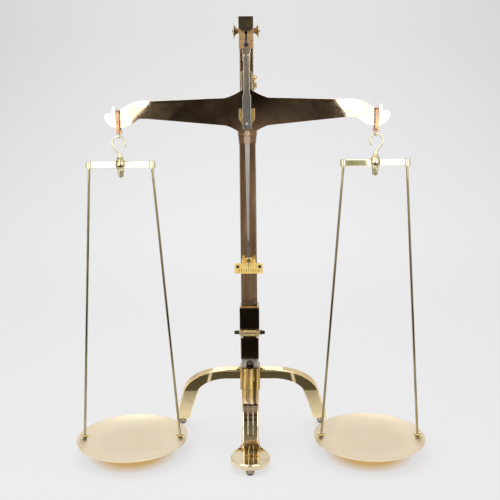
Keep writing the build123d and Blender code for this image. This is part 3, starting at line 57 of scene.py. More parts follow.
class Graph:
    """Adds nodes and links to one node tree."""

    def __init__(self, tree: NodeTree) -> None:
        """Keep the tree that the nodes go into.

        Args:
            tree: The tree of a material or a group. A group's source and sink are set by open_group.
        """
        self.tree = tree
        self.source: Node | None = None
        self.sink: Node | None = None

    def node(self, kind: str, inputs: dict[str | int, object] | None = None, **settings: object) -> Node:
        """Add one node.

        Args:
            kind: Blender's type name of the node.
            inputs: Values or output sockets for its inputs, by name or index.
            settings: Properties of the node itself.

        Returns:
            The new node.
        """
        made = self.tree.nodes.new(kind)
        for name, value in settings.items():
            setattr(made, name, value)
        for name, value in (inputs or {}).items():
            self.feed(made.inputs[name], value)
        return made

    def feed(self, socket: NodeSocket, value: object) -> None:
        """Link an output to a socket, or set the socket's own value.

        Args:
            socket: The input to feed.
            value: An output socket, a number, a vector or a colour.
        """
        if isinstance(value, NodeSocket):
            self.tree.links.new(value, socket)
        elif isinstance(value, tuple) and len(value) == 3 and socket.type == "RGBA":
            socket.default_value = (*value, 1.0)
        else:
            socket.default_value = value

    def math(self, operation: str, *values: object, clamp: bool = False) -> NodeSocket:
        """Add a Math node.

        Args:
            operation: Blender's name of the operation.
            values: Its operands, numbers or outputs.
            clamp: Whether the result is kept between 0 and 1.

        Returns:
            The result's socket.
        """
        made = self.node("ShaderNodeMath", dict(enumerate(values)), operation=operation, use_clamp=clamp)
        return made.outputs[0]

    def mix(self, factor: object, first: object, second: object, blend: str = "MIX") -> NodeSocket:
        """Mix two colours.

        Args:
            factor: Share of the second colour.
            first: Colour at factor 0.
            second: Colour at factor 1.
            blend: Blender's name of the blend.

        Returns:
            The mixed colour's socket.
        """
        factor_in, first_in, second_in, colour_out = 0, 6, 7, 2
        made = self.node("ShaderNodeMix", {factor_in: factor, first_in: first, second_in: second},
                         data_type="RGBA", blend_type=blend)
        return made.outputs[colour_out]

    def remap(self, value: object, span: Span, to: Span) -> NodeSocket:
        """Map a value from one range to another, clamped.

        Args:
            value: The value.
            span: Its range.
            to: The range it is mapped to.

        Returns:
            The mapped value's socket.
        """
        made = self.node("ShaderNodeMapRange", {"Value": value, "From Min": span[0], "From Max": span[1],
                                                "To Min": to[0], "To Max": to[1]})
        return made.outputs[0]

    def noise(self, vector: object, scale: object, detail: float = 2.0,
              distortion: float = 0.0) -> NodeSocket:
        """Add a noise texture.

        Args:
            vector: Its coordinates.
            scale: Its scale, per metre.
            detail: Octaves of finer noise.
            distortion: How far the noise bends itself.

        Returns:
            The noise value's socket.
        """
        made = self.node("ShaderNodeTexNoise", {"Vector": vector, "Scale": scale, "Detail": detail,
                                                "Distortion": distortion})
        return made.outputs[0]

    def stretch(self, vector: object, scale: object) -> NodeSocket:
        """Scale coordinates along each axis.

        Args:
            vector: The coordinates.
            scale: Three factors, or a vector socket.

        Returns:
            The scaled coordinates' socket.
        """
        made = self.node("ShaderNodeVectorMath", {0: vector, 1: scale}, operation="MULTIPLY")
        return made.outputs[0]


def open_group(name: str, kind: str, inputs: dict[str, str], outputs: dict[str, str]) -> Graph:
    """Start a node group with named sockets.

    Args:
        name: The group's name.
        kind: Blender's type name of the tree.
        inputs: Socket type of each input.
        outputs: Socket type of each output.

    Returns:
        The graph of the new group, with its input and output nodes as graph.source and graph.sink.
    """
    tree = bpy.data.node_groups.new(name, kind)
    for way, sockets in (("INPUT", inputs), ("OUTPUT", outputs)):
        for label, socket_type in sockets.items():
            tree.interface.new_socket(label, in_out=way, socket_type=socket_type)
    graph = Graph(tree)
    graph.source = graph.node("NodeGroupInput")
    graph.sink = graph.node("NodeGroupOutput")
    return graph


class Effects:
    """Shader groups the metals share: soft edges with painted light, hand polish, tarnish, specks, and grime
    with painted shade.
    """

    def __init__(self) -> None:
        """Build the five groups once."""
        self.soft_edges = self.make_soft_edges()
        self.hand_polish = self.make_hand_polish()
        self.tarnish = self.make_tarnish()
        self.specks = self.make_specks()
        self.recess_shade = self.make_recess_shade()

    @staticmethod
    def make_soft_edges() -> NodeTree:
        """Round the shading of sharp edges, and mask them for the edge colour: partly rubbed wear, partly
        painted light.

        Returns:
            The group, with the rounded normal and a mask of the edges.
        """
        graph = open_group("soft_edges", "ShaderNodeTree", {"Radius": FLOAT},
                           {"Normal": VECTOR, "Mask": FLOAT})
        flat_from, wear_and_light_from, rays = 0.985, 0.80, 6
        bevel = graph.node("ShaderNodeBevel", {"Radius": graph.source.outputs["Radius"]}, samples=rays)
        surface = graph.node("ShaderNodeNewGeometry")
        facing = graph.node("ShaderNodeVectorMath", {0: bevel.outputs[0], 1: surface.outputs["Normal"]},
                            operation="DOT_PRODUCT")
        edge_wear_and_light = graph.remap(facing.outputs["Value"], (flat_from, wear_and_light_from), (0.0, 1.0))
        graph.feed(graph.sink.inputs["Normal"], bevel.outputs[0])
        graph.feed(graph.sink.inputs["Mask"], edge_wear_and_light)
        return graph.tree

    @staticmethod
    def make_hand_polish() -> NodeTree:
        """Slow waves of a hand-filed face with fine polishing lines on them.

        Returns:
            The group, with a height in metres and a mask of the lines.
        """
        graph = open_group("hand_polish", "ShaderNodeTree", {
            "Vector": VECTOR, "Wave Scale": FLOAT, "Wave Height": FLOAT, "Line Stretch": VECTOR,
            "Line Height": FLOAT}, {"Height": FLOAT, "Lines": FLOAT})
        inputs = graph.source.outputs
        waves = graph.noise(inputs["Vector"], inputs["Wave Scale"], detail=1.0)
        lines = graph.noise(graph.stretch(inputs["Vector"], inputs["Line Stretch"]), 1.0, detail=3.0)
        height = graph.math("ADD", graph.math("MULTIPLY", waves, inputs["Wave Height"]),
                            graph.math("MULTIPLY", lines, inputs["Line Height"]))
        graph.feed(graph.sink.inputs["Height"], height)
        graph.feed(graph.sink.inputs["Lines"], lines)
        return graph.tree

    @staticmethod
    def make_tarnish() -> NodeTree:
        """Blotches of darker metal between cleaner ones.

        Returns:
            The group, with the mixed colour and the mask of the blotches.
        """
        graph = open_group("tarnish", "ShaderNodeTree", {
            "Vector": VECTOR, "Clean": COLOUR, "Dull": COLOUR, "Amount": FLOAT, "Scale": FLOAT},
            {"Color": COLOUR, "Mask": FLOAT})
        inputs = graph.source.outputs
        cloud_low, cloud_high = 0.38, 0.66
        clouds = graph.noise(inputs["Vector"], inputs["Scale"], detail=5.0, distortion=0.6)
        mask = graph.math("MULTIPLY", graph.remap(clouds, (cloud_low, cloud_high), (0.0, 1.0)),
                          inputs["Amount"])
        graph.feed(graph.sink.inputs["Color"], graph.mix(mask, inputs["Clean"], inputs["Dull"]))
        graph.feed(graph.sink.inputs["Mask"], mask)
        return graph.tree

    @staticmethod
    def make_specks() -> NodeTree:
        """Small dark pits and spots, scattered unevenly.

        Returns:
            The group, with the mask of the spots.
        """
        graph = open_group("specks", "ShaderNodeTree", {"Vector": VECTOR, "Scale": FLOAT, "Size": FLOAT},
                           {"Mask": FLOAT})
        inputs = graph.source.outputs
        patch_scale, patch_low, patch_high = 40.0, 0.5, 0.62
        cells = graph.node("ShaderNodeTexVoronoi", {"Vector": inputs["Vector"], "Scale": inputs["Scale"]})
        spot = graph.math("LESS_THAN", cells.outputs["Distance"], inputs["Size"])
        patches = graph.remap(graph.noise(inputs["Vector"], patch_scale), (patch_low, patch_high), (0.0, 1.0))
        graph.feed(graph.sink.inputs["Mask"], graph.math("MULTIPLY", spot, patches))
        return graph.tree

    @staticmethod
    def make_recess_shade() -> NodeTree:
        """Darken hollows and places that nearby parts hide: old polish and dirt, and painted shade.

        Returns:
            The group, with the darkened colour and the mask of the dirt and painted shade.
        """
        graph = open_group("recess_shade", "ShaderNodeTree", {
            "Color": COLOUR, "Grime And Shade": COLOUR, "Reach": FLOAT, "Open": FLOAT, "Amount": FLOAT},
            {"Color": COLOUR, "Mask": FLOAT})
        inputs = graph.source.outputs
        deep_below_open, rays = 0.5, 8
        # Painted shade: ambient occlusion from this piece, nearby parts and the paper darkens the colour.
        hidden = graph.node("ShaderNodeAmbientOcclusion", {"Distance": inputs["Reach"]}, samples=rays,
                            only_local=False)
        depth = graph.math("DIVIDE", graph.math("SUBTRACT", inputs["Open"], hidden.outputs["AO"]),
                           deep_below_open, clamp=True)
        mask = graph.math("MULTIPLY", depth, inputs["Amount"])
        graph.feed(graph.sink.inputs["Color"], graph.mix(mask, inputs["Color"], inputs["Grime And Shade"]))
        graph.feed(graph.sink.inputs["Mask"], mask)
        return graph.tree


class Grain(Enum):
    """How the last polishing lines run on a piece, as line frequencies per metre along X, Y and Z."""

    UPRIGHT = (2600.0, 2600.0, 60.0)
    ALONG = (60.0, 1800.0, 2600.0)
    TURNED = (160.0, 160.0, 3200.0)
    CLOTH = (1500.0, 1500.0, 1500.0)
    SPUN = (90.0, 2400.0, 90.0)


@dataclass(frozen=True)
class Finish:
    """One metal finish: its colours, how rough it is, the marks of polishing and age, and painted light on
    edges and in hollows.

    The wave height, edge radius and recess reach are in millimetres, the line height is in microns, and the
    scales are per metre. The end colour stands in for the clean one at the first height of end_span and
    beyond it, and fades out towards the second. Those heights are in metres.
    """

    name: str
    clean: Colour
    dull: Colour
    # Colour of the edges: partly rubbed wear, partly painted light, a highlight on most finishes.
    edge_wear_and_light: Colour
    grain: Grain
    rough: float
    dull_rough: float
    tarnish: float = 0.3
    tarnish_scale: float = 28.0
    wave: float = 0.04
    wave_scale: float = 30.0
    line: float = 0.6
    edge: float = 0.8
    speck: float = 0.10
    streak: tuple[float, float, float] = (1.0, 1.0, 1.0)
    # The next four fields darken hollows and places that nearby parts hide, towards a colour that is partly
    # dirt and partly painted shade.
    recess_shade: float = 0.6
    recess_reach: float = 4.0
    recess_open: float = 0.82
    grime_and_shade: Colour = (0.09, 0.055, 0.025)
    end_colour: Colour | None = None
    end_span: Span = (0.66, 0.70)

    def material(self, effects: Effects) -> Material:
        """Build the finish's material.

        Args:
            effects: The shared shader groups.

        Returns:
            The material.
        """
        made = bpy.data.materials.new(self.name)
        made.use_nodes = True
        graph = Graph(made.node_tree)
        graph.tree.nodes.clear()
        place = graph.node("ShaderNodeTexCoord").outputs["Object"]
        speck_scale, speck_strength, wear_and_light_strength = 300.0, 0.7, 0.6
        line_span, line_roughness = (0.3, 0.7), (-0.02, 0.03)
        group = "ShaderNodeGroup"
        edges = graph.node(group, {"Radius": self.edge * MILLIMETRE}, node_tree=effects.soft_edges)
        polish = graph.node(group, {
            "Vector": place, "Wave Scale": self.wave_scale, "Wave Height": self.wave * MILLIMETRE,
            "Line Stretch": self.grain.value, "Line Height": self.line * MICRON},
            node_tree=effects.hand_polish)
        clean = self.clean
        if self.end_colour:
            height = graph.node("ShaderNodeSeparateXYZ", {0: place}).outputs["Z"]
            clean = graph.mix(graph.remap(height, self.end_span, (1.0, 0.0)), self.clean, self.end_colour)
        tarnish = graph.node(group, {
            "Vector": graph.stretch(place, self.streak), "Clean": clean, "Dull": self.dull,
            "Amount": self.tarnish, "Scale": self.tarnish_scale}, node_tree=effects.tarnish)
        specks = graph.node(group, {"Vector": place, "Scale": speck_scale, "Size": self.speck},
                            node_tree=effects.specks)
        spotted = graph.mix(graph.math("MULTIPLY", specks.outputs["Mask"], speck_strength),
                            tarnish.outputs["Color"], self.dull)
        # Edges take the edge colour: partly rubbed wear, partly painted light.
        edge_wear_and_light = graph.mix(graph.math("MULTIPLY", edges.outputs["Mask"], wear_and_light_strength), spotted, self.edge_wear_and_light)
        # Hollows and places that nearby parts hide darken: partly old polish and dirt, partly painted shade.
        recess_shade = graph.node(group, {
            "Color": edge_wear_and_light, "Grime And Shade": self.grime_and_shade, "Reach": self.recess_reach * MILLIMETRE,
            "Open": self.recess_open, "Amount": self.recess_shade}, node_tree=effects.recess_shade)
        colour = recess_shade.outputs["Color"]
        marks = graph.math("ADD", tarnish.outputs["Mask"], specks.outputs["Mask"])
        rough = graph.remap(graph.math("ADD", marks, recess_shade.outputs["Mask"]), (0.0, 1.0),
                            (self.rough, self.dull_rough))
        rough = graph.math("ADD", rough, graph.remap(polish.outputs["Lines"], line_span, line_roughness))
        bump = graph.node("ShaderNodeBump", {"Height": polish.outputs["Height"], "Distance": 1.0,
                                             "Strength": 1.0, "Normal": edges.outputs["Normal"]})
        shader = graph.node("ShaderNodeBsdfPrincipled", {
            "Base Color": colour, "Metallic": 1.0, "Roughness": rough, "Normal": bump.outputs[0]})
        graph.node("ShaderNodeOutputMaterial", {"Surface": shader.outputs[0]})
        return made


FINISHES = (
    # The pillar's edge colour is darker than its clean one: painted shade along its edges.
    Finish("pillar_brass", (0.73, 0.55, 0.36), (0.38, 0.23, 0.12), (0.30, 0.22, 0.15), Grain.UPRIGHT,
           rough=0.06, dull_rough=0.16, tarnish=0.9, tarnish_scale=130.0, wave=0.10, wave_scale=55.0,
           edge=2.4, streak=(1.0, 1.0, 0.05)),
    Finish("sleeve_brass", (0.66, 0.50, 0.34), (0.40, 0.26, 0.16), (0.80, 0.66, 0.48), Grain.UPRIGHT,
           rough=0.03, dull_rough=0.08, tarnish=0.5, wave=0.02, edge=0.3, speck=0.05),
    Finish("base_brass", (0.90, 0.73, 0.43), (0.60, 0.45, 0.20), (0.98, 0.88, 0.64), Grain.CLOTH,
           rough=0.05, dull_rough=0.12, tarnish=0.35, wave=0.06, edge=1.2),
    Finish("hub_brass", (0.76, 0.53, 0.18), (0.26, 0.14, 0.035), (0.98, 0.88, 0.62), Grain.UPRIGHT,
           rough=0.02, dull_rough=0.05, tarnish=0.9, tarnish_scale=120.0, wave=0.08, wave_scale=45.0,
           edge=1.2, streak=(1.0, 1.0, 0.10), recess_shade=0.8),
    Finish("leg_brass", (0.94, 0.80, 0.56), (0.60, 0.46, 0.24), (0.99, 0.92, 0.74), Grain.CLOTH,
           rough=0.03, dull_rough=0.07, tarnish=0.4, tarnish_scale=22.0, wave=0.015, edge=1.2,
           recess_shade=0.7, recess_reach=6.0, end_colour=(0.53, 0.34, 0.12), end_span=(0.108, 0.090)),
    # The neck's strong recess darkening paints shade into its niche.
    Finish("neck_brass", (0.70, 0.66, 0.62), (0.34, 0.29, 0.25), (0.97, 0.92, 0.80), Grain.UPRIGHT,
           rough=0.08, dull_rough=0.16, tarnish=0.8, tarnish_scale=130.0, wave=0.05,
           streak=(1.0, 1.0, 0.1), recess_shade=1.0, recess_reach=14.0, recess_open=1.0, grime_and_shade=(0.06, 0.045, 0.02)),
    # The feet's near-black recess colour paints shade where they meet the paper and the legs.
    Finish("foot_brass", (0.55, 0.46, 0.33), (0.22, 0.16, 0.09), (0.70, 0.60, 0.44), Grain.TURNED,
           rough=0.05, dull_rough=0.12, tarnish=0.4, edge=0.3, recess_shade=1.0, recess_reach=9.0, recess_open=0.95,
           grime_and_shade=(0.02, 0.016, 0.012)),
    Finish("head_brass", (0.62, 0.50, 0.36), (0.26, 0.17, 0.10), (0.78, 0.68, 0.50), Grain.CLOTH,
           rough=0.05, dull_rough=0.12, tarnish=0.9, tarnish_scale=70.0, wave=0.05, recess_shade=0.8),
    Finish("yoke_brass", (0.80, 0.55, 0.28), (0.24, 0.11, 0.04), (0.99, 0.88, 0.72), Grain.CLOTH,
           rough=0.24, dull_rough=0.40, tarnish=0.95, tarnish_scale=100.0, wave=0.12, wave_scale=90.0,
           recess_shade=1.0, recess_reach=5.0, grime_and_shade=(0.08, 0.035, 0.02)),
    Finish("nut_brass", (0.86, 0.80, 0.52), (0.46, 0.41, 0.20), (0.97, 0.93, 0.72), Grain.CLOTH,
           rough=0.22, dull_rough=0.34, tarnish=0.5, edge=0.5, recess_shade=0.8, grime_and_shade=(0.14, 0.09, 0.03)),
    Finish("guide_brass", (0.88, 0.66, 0.36), (0.50, 0.32, 0.12), (0.98, 0.84, 0.58), Grain.CLOTH,
           rough=0.24, dull_rough=0.36, tarnish=0.5, tarnish_scale=80.0, edge=0.6, recess_shade=0.9),
    Finish("key_brass", (0.82, 0.66, 0.33), (0.42, 0.30, 0.10), (0.97, 0.88, 0.62), Grain.ALONG,
           rough=0.22, dull_rough=0.34, tarnish=0.5, tarnish_scale=60.0, edge=0.6, recess_shade=0.9),
    Finish("plate_brass", (0.99, 0.77, 0.29), (0.88, 0.62, 0.18), (0.99, 0.90, 0.62), Grain.ALONG,
           rough=0.54, dull_rough=0.62, tarnish=0.35, tarnish_scale=60.0, wave=0.03, edge=0.5),
    Finish("beam_brass", (0.90, 0.75, 0.56), (0.56, 0.36, 0.22), (0.94, 0.84, 0.68), Grain.ALONG,
           rough=0.02, dull_rough=0.05, tarnish=0.7, tarnish_scale=30.0, wave=0.008, wave_scale=14.0,
           line=0.2, edge=0.7, recess_shade=0.3),
    Finish("window_brass", (1.0, 0.73, 0.29), (0.42, 0.22, 0.05), (0.99, 0.88, 0.62), Grain.UPRIGHT,
           rough=0.20, dull_rough=0.42, tarnish=1.0, tarnish_scale=150.0, wave=0.06, edge=1.2,
           streak=(1.0, 1.0, 0.25), recess_shade=0.8),
    Finish("socket_brass", (0.93, 0.70, 0.50), (0.60, 0.38, 0.22), (0.99, 0.88, 0.74), Grain.TURNED,
           rough=0.28, dull_rough=0.40, tarnish=0.4, edge=0.5, recess_shade=0.8),
    Finish("strap_bronze", (0.84, 0.52, 0.30), (0.42, 0.22, 0.12), (0.95, 0.74, 0.52), Grain.UPRIGHT,
           rough=0.36, dull_rough=0.50, tarnish=0.55, tarnish_scale=90.0, edge=0.5, recess_shade=0.9,
           grime_and_shade=(0.07, 0.03, 0.02), end_colour=(0.30, 0.13, 0.08), end_span=(0.655, 0.650)),
    Finish("hanger_brass", (0.88, 0.79, 0.58), (0.52, 0.44, 0.24), (0.97, 0.92, 0.78), Grain.TURNED,
           rough=0.03, dull_rough=0.08, tarnish=0.35, wave=0.01, line=0.08, edge=0.4, recess_shade=0.8,
           recess_reach=3.0),
    Finish("baluster_brass", (0.82, 0.75, 0.48), (0.34, 0.29, 0.12), (0.97, 0.93, 0.76), Grain.TURNED,
           rough=0.03, dull_rough=0.08, tarnish=0.9, tarnish_scale=120.0, wave=0.03, wave_scale=60.0,
           line=0.1, edge=0.4, recess_shade=1.0, recess_reach=3.0),
    Finish("rod_brass", (0.54, 0.44, 0.27), (0.25, 0.20, 0.11), (0.96, 0.87, 0.68), Grain.TURNED,
           rough=0.05, dull_rough=0.10, tarnish=0.6, tarnish_scale=25.0, line=0.1, edge=0.2, recess_shade=0.4,
           end_colour=(0.39, 0.32, 0.19), end_span=(0.40, 0.53)),
    Finish("stud_brass", (0.72, 0.56, 0.24), (0.20, 0.13, 0.03), (0.97, 0.86, 0.58), Grain.CLOTH,
           rough=0.10, dull_rough=0.20, tarnish=0.7, tarnish_scale=160.0, edge=0.3, recess_shade=1.0,
           recess_open=1.0, grime_and_shade=(0.08, 0.05, 0.015)),
    Finish("pan_brass", (0.99, 0.87, 0.67), (0.92, 0.77, 0.54), (0.99, 0.90, 0.70), Grain.SPUN,
           rough=0.42, dull_rough=0.50, tarnish=0.4, tarnish_scale=12.0, wave=0.02, wave_scale=14.0, line=1.2,
           edge=0.5, speck=0.05, recess_shade=0.2),
    Finish("shear_steel", (0.68, 0.58, 0.45), (0.50, 0.41, 0.29), (0.98, 0.92, 0.80), Grain.UPRIGHT,
           rough=0.20, dull_rough=0.26, tarnish=0.5, tarnish_scale=110.0, wave=0.01, line=0.15, edge=1.2,
           speck=0.05, streak=(1.0, 1.0, 0.12), end_colour=(0.40, 0.46, 0.50), end_span=(0.665, 0.705)),
    Finish("pointer_steel", (0.75, 0.74, 0.72), (0.60, 0.56, 0.52), (0.97, 0.95, 0.92), Grain.UPRIGHT,
           rough=0.30, dull_rough=0.38, tarnish=0.4, tarnish_scale=110.0, line=0.2,
           streak=(1.0, 1.0, 0.1), end_colour=(0.05, 0.05, 0.045), end_span=(0.418, 0.424)),
    Finish("tick_wax", (0.05, 0.04, 0.03), (0.03, 0.02, 0.015), (0.12, 0.09, 0.05), Grain.CLOTH,
           rough=0.55, dull_rough=0.70, tarnish=0.5, edge=0.2),
    Finish("bright_steel", (0.66, 0.65, 0.64), (0.44, 0.41, 0.38), (0.90, 0.88, 0.84), Grain.UPRIGHT,
           rough=0.12, dull_rough=0.22, line=0.2, edge=0.4),
    Finish("knife_steel", (0.40, 0.26, 0.17), (0.20, 0.13, 0.09), (0.60, 0.45, 0.32), Grain.ALONG,
           rough=0.12, dull_rough=0.22, tarnish=0.4, line=0.2, edge=0.3),
    Finish("dark_steel", (0.13, 0.135, 0.16), (0.06, 0.06, 0.06), (0.40, 0.40, 0.42), Grain.TURNED,
           rough=0.20, dull_rough=0.36, tarnish=0.4, edge=0.3, line=0.2),
    Finish("spindle_steel", (0.07, 0.065, 0.05), (0.035, 0.03, 0.025), (0.40, 0.36, 0.26),
           Grain.TURNED, rough=0.16, dull_rough=0.30, tarnish=0.4, edge=0.5, line=0.2),
    Finish("screw_steel", (0.74, 0.70, 0.62), (0.36, 0.30, 0.24), (0.92, 0.88, 0.80), Grain.CLOTH,
           rough=0.30, dull_rough=0.40, tarnish=0.4, edge=0.3, recess_shade=1.0, recess_reach=1.5),
)

BOTH_SIDES = {
    "hanger_brass": ("link", "hook", "crossbar"),
    "baluster_brass": ("baluster", "baluster_nut"),
    "rod_brass": ("rods",),
    "stud_brass": ("pan_studs",),
    "strap_bronze": ("shackle",),
    "pan_brass": ("pan",),
    "knife_steel": ("shackle_bearing",),
    "nut_brass": ("thumb_nut",),
    "base_brass": ("rear_leg",),
}
ONCE = {
    "pillar_brass": ("outer_column", "inner_column", "column_collar"),
    "sleeve_brass": ("column_socket", "lower_post"),
    "key_brass": ("key_block", "spindle_bushes"),
    "hub_brass": ("hub_block",),
    "leg_brass": ("front_leg",),
    "neck_brass": ("neck_collar",),
    "foot_brass": ("bun_feet",),
    "head_brass": ("head_block",),
    "yoke_brass": ("yoke",),
    "guide_brass": ("guide_bracket", "guide_screw"),
    "plate_brass": ("scale_plate", "scale_bracket"),
    "beam_brass": ("beam",),
    "window_brass": ("knife_block",),
    "socket_brass": ("pointer_socket",),
    "shear_steel": ("shear_bridge", "front_shear", "rear_shear"),
    "bright_steel": ("centre_knife", "shear_bearings"),
    "knife_steel": ("end_knives",),
    "pointer_steel": ("pointer",),
    "dark_steel": ("hanger_pin", "cross_bolt", "base_bolt", "lift_rod"),
    "spindle_steel": ("spindle", "plate_screws"),
    "screw_steel": ("head_screws", "shear_screws", "shear_tie"),
}


class MetalShop:
    """Makes each finish once and puts it on the CAD nodes."""

    def __init__(self) -> None:
        """Build the shared effects and one material for each finish."""
        effects = Effects()
        self.materials = {finish.name: finish.material(effects) for finish in FINISHES}

    def dress_all(self) -> None:
        """Dress every CAD node, and stop if one was left out."""
        dressed = set()
        for finish, material in self.materials.items():
            nodes = list(ONCE.get(finish, ()))
            nodes += [side + "_" + stem for side in SIDES for stem in BOTH_SIDES.get(finish, ())]
            for node in nodes:
                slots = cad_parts[node].data.materials
                slots.clear()
                slots.append(material)
                log.info("%s: %s", node, finish)
            dressed.update(nodes)
        left_out = set(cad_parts) - dressed
        if left_out:
            raise ValueError(f"nodes without a finish: {sorted(left_out)}")


class NodeTool:
    """A Geometry Nodes tree that is built once and makes plain meshes from it."""

    def __init__(self, name: str, inputs: dict[str, str]) -> None:
        """Open the tree.

        Args:
            name: The tree's name.
            inputs: Socket type of each named input, apart from the material.
        """
        sockets = {"Geometry": GEOMETRY, **inputs, "Material": "NodeSocketMaterial"}
        self.graph = open_group(name, "GeometryNodeTree", sockets, {"Geometry": GEOMETRY})
        self.inputs = self.graph.source.outputs

    def close(self, geometry: NodeSocket) -> None:
        """End the tree with its instances realised and its material set.

        Args:
            geometry: The geometry to put out.
        """
        real = self.graph.node("GeometryNodeRealizeInstances", {"Geometry": geometry})
        dressed = self.graph.node("GeometryNodeSetMaterial", {
            "Geometry": real.outputs[0], "Material": self.inputs["Material"]})
        self.graph.feed(self.graph.sink.inputs["Geometry"], dressed.outputs[0])

    def make(self, name: str, body: str, slot: str, values: dict[str, object]) -> None:
        """Run the tree and keep the result as a plain mesh that rides on a body.

        Args:
            name: The new piece's name.
            body: The CAD body that it rides on.
            slot: The record's material slot; not used.
            values: A value for each named input.
        """
        piece = bpy.data.objects.new(name, bpy.data.meshes.new(name))
        bpy.context.scene.collection.objects.link(piece)
        tool = piece.modifiers.new(name, "NODES")
        tool.node_group = self.graph.tree
        for item in self.graph.tree.interface.items_tree:
            if item.in_out == "INPUT" and item.name in values:
                tool[item.identifier] = values[item.name]
        ready = piece.evaluated_get(bpy.context.evaluated_depsgraph_get())
        mesh = bpy.data.meshes.new_from_object(ready)
        piece.modifiers.clear()
        piece.data = mesh
        mesh.name = name
        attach(piece, body)
        log.info("%s: %d faces on %s", name, len(mesh.polygons), body)


def make_ring_tool() -> NodeTool:
    """Build the tree that turns a row of equal round beads about one axis.

    Returns:
        The tool.
    """
    tool = NodeTool("turned_rings", {
        "Radius": FLOAT, "Wire": FLOAT, "Count": WHOLE, "Pitch": FLOAT, "Place": VECTOR, "Turn": VECTOR})
    graph, inputs = tool.graph, tool.inputs
    round_steps, wire_steps = 96, 10
    path = graph.node("GeometryNodeCurvePrimitiveCircle", {
        "Resolution": round_steps, "Radius": inputs["Radius"]})
    wire = graph.node("GeometryNodeCurvePrimitiveCircle", {
        "Resolution": wire_steps, "Radius": inputs["Wire"]})
    ring = graph.node("GeometryNodeCurveToMesh", {
        "Curve": path.outputs[0], "Profile Curve": wire.outputs[0]})
    smooth = graph.node("GeometryNodeSetShadeSmooth", {"Geometry": ring.outputs[0]})
    step = graph.node("ShaderNodeCombineXYZ", {"Z": inputs["Pitch"]})
    row = graph.node("GeometryNodeMeshLine", {"Count": inputs["Count"], "Offset": step.outputs[0]})
    rings = graph.node("GeometryNodeInstanceOnPoints", {
        "Points": row.outputs[0], "Instance": smooth.outputs[0]})
    placed = graph.node("GeometryNodeTransform", {
        "Geometry": rings.outputs[0], "Translation": inputs["Place"], "Rotation": inputs["Turn"]})
    tool.close(placed.outputs[0])
    return tool


def make_tick_tool() -> NodeTool:
    """Build the tree that lays a row of upright strips, with one longer than the rest.

    Returns:
        The tool.
    """
    tool = NodeTool("tick_row", {
        "Size": VECTOR, "Height": FLOAT, "Count": WHOLE, "Pitch": FLOAT, "Long Index": WHOLE,
        "Long Share": FLOAT, "Place": VECTOR})
    graph, inputs = tool.graph, tool.inputs
    half, index_tolerance = 0.5, 0.5
    strip = graph.node("GeometryNodeMeshCube", {"Size": inputs["Size"]})
    lift = graph.node("ShaderNodeCombineXYZ", {"Z": graph.math("MULTIPLY", inputs["Height"], half)})
    standing = graph.node("GeometryNodeTransform", {
        "Geometry": strip.outputs[0], "Translation": lift.outputs[0]})
    step = graph.node("ShaderNodeCombineXYZ", {"X": inputs["Pitch"]})
    row = graph.node("GeometryNodeMeshLine", {"Count": inputs["Count"], "Offset": step.outputs[0]})
    index = graph.node("GeometryNodeInputIndex")
    is_long = graph.math("COMPARE", index.outputs[0], inputs["Long Index"], index_tolerance)
    stretch = graph.math("ADD", 1.0, graph.math("MULTIPLY", is_long, inputs["Long Share"]))
    scale = graph.node("ShaderNodeCombineXYZ", {"X": 1.0, "Y": 1.0, "Z": stretch})
    strips = graph.node("GeometryNodeInstanceOnPoints", {
        "Points": row.outputs[0], "Instance": standing.outputs[0], "Scale": scale.outputs[0]})
    placed = graph.node("GeometryNodeTransform", {
        "Geometry": strips.outputs[0], "Translation": inputs["Place"]})
    tool.close(placed.outputs[0])
    return tool


@dataclass
class ScaleTicks:
    """Black wax rubbed into the engraved ticks of the scale plate, with sizes in millimetres."""

    count: int = 9
    pitch: float = 4.4
    width: float = 0.76
    height: float = 4.96
    depth: float = 0.34
    long_share: float = 0.5
    face_y: float = -22.48
    foot_z: float = 360.02

    def build(self, materials: dict[str, Material]) -> None:
        """Lay the wax in every tick.

        Args:
            materials: The materials by name.
        """
        first = -self.pitch * (self.count - 1) / 2
        size = Vector((self.width, self.depth, self.height)) * MILLIMETRE
        place = Vector((first, self.face_y + self.depth / 2, self.foot_z)) * MILLIMETRE
        make_tick_tool().make("scale_tick_wax", "stand", "plate_brass", {
            "Size": size, "Height": self.height * MILLIMETRE, "Count": self.count,
            "Pitch": self.pitch * MILLIMETRE, "Long Index": self.count // 2, "Long Share": self.long_share,
            "Place": place, "Material": materials["tick_wax"]})


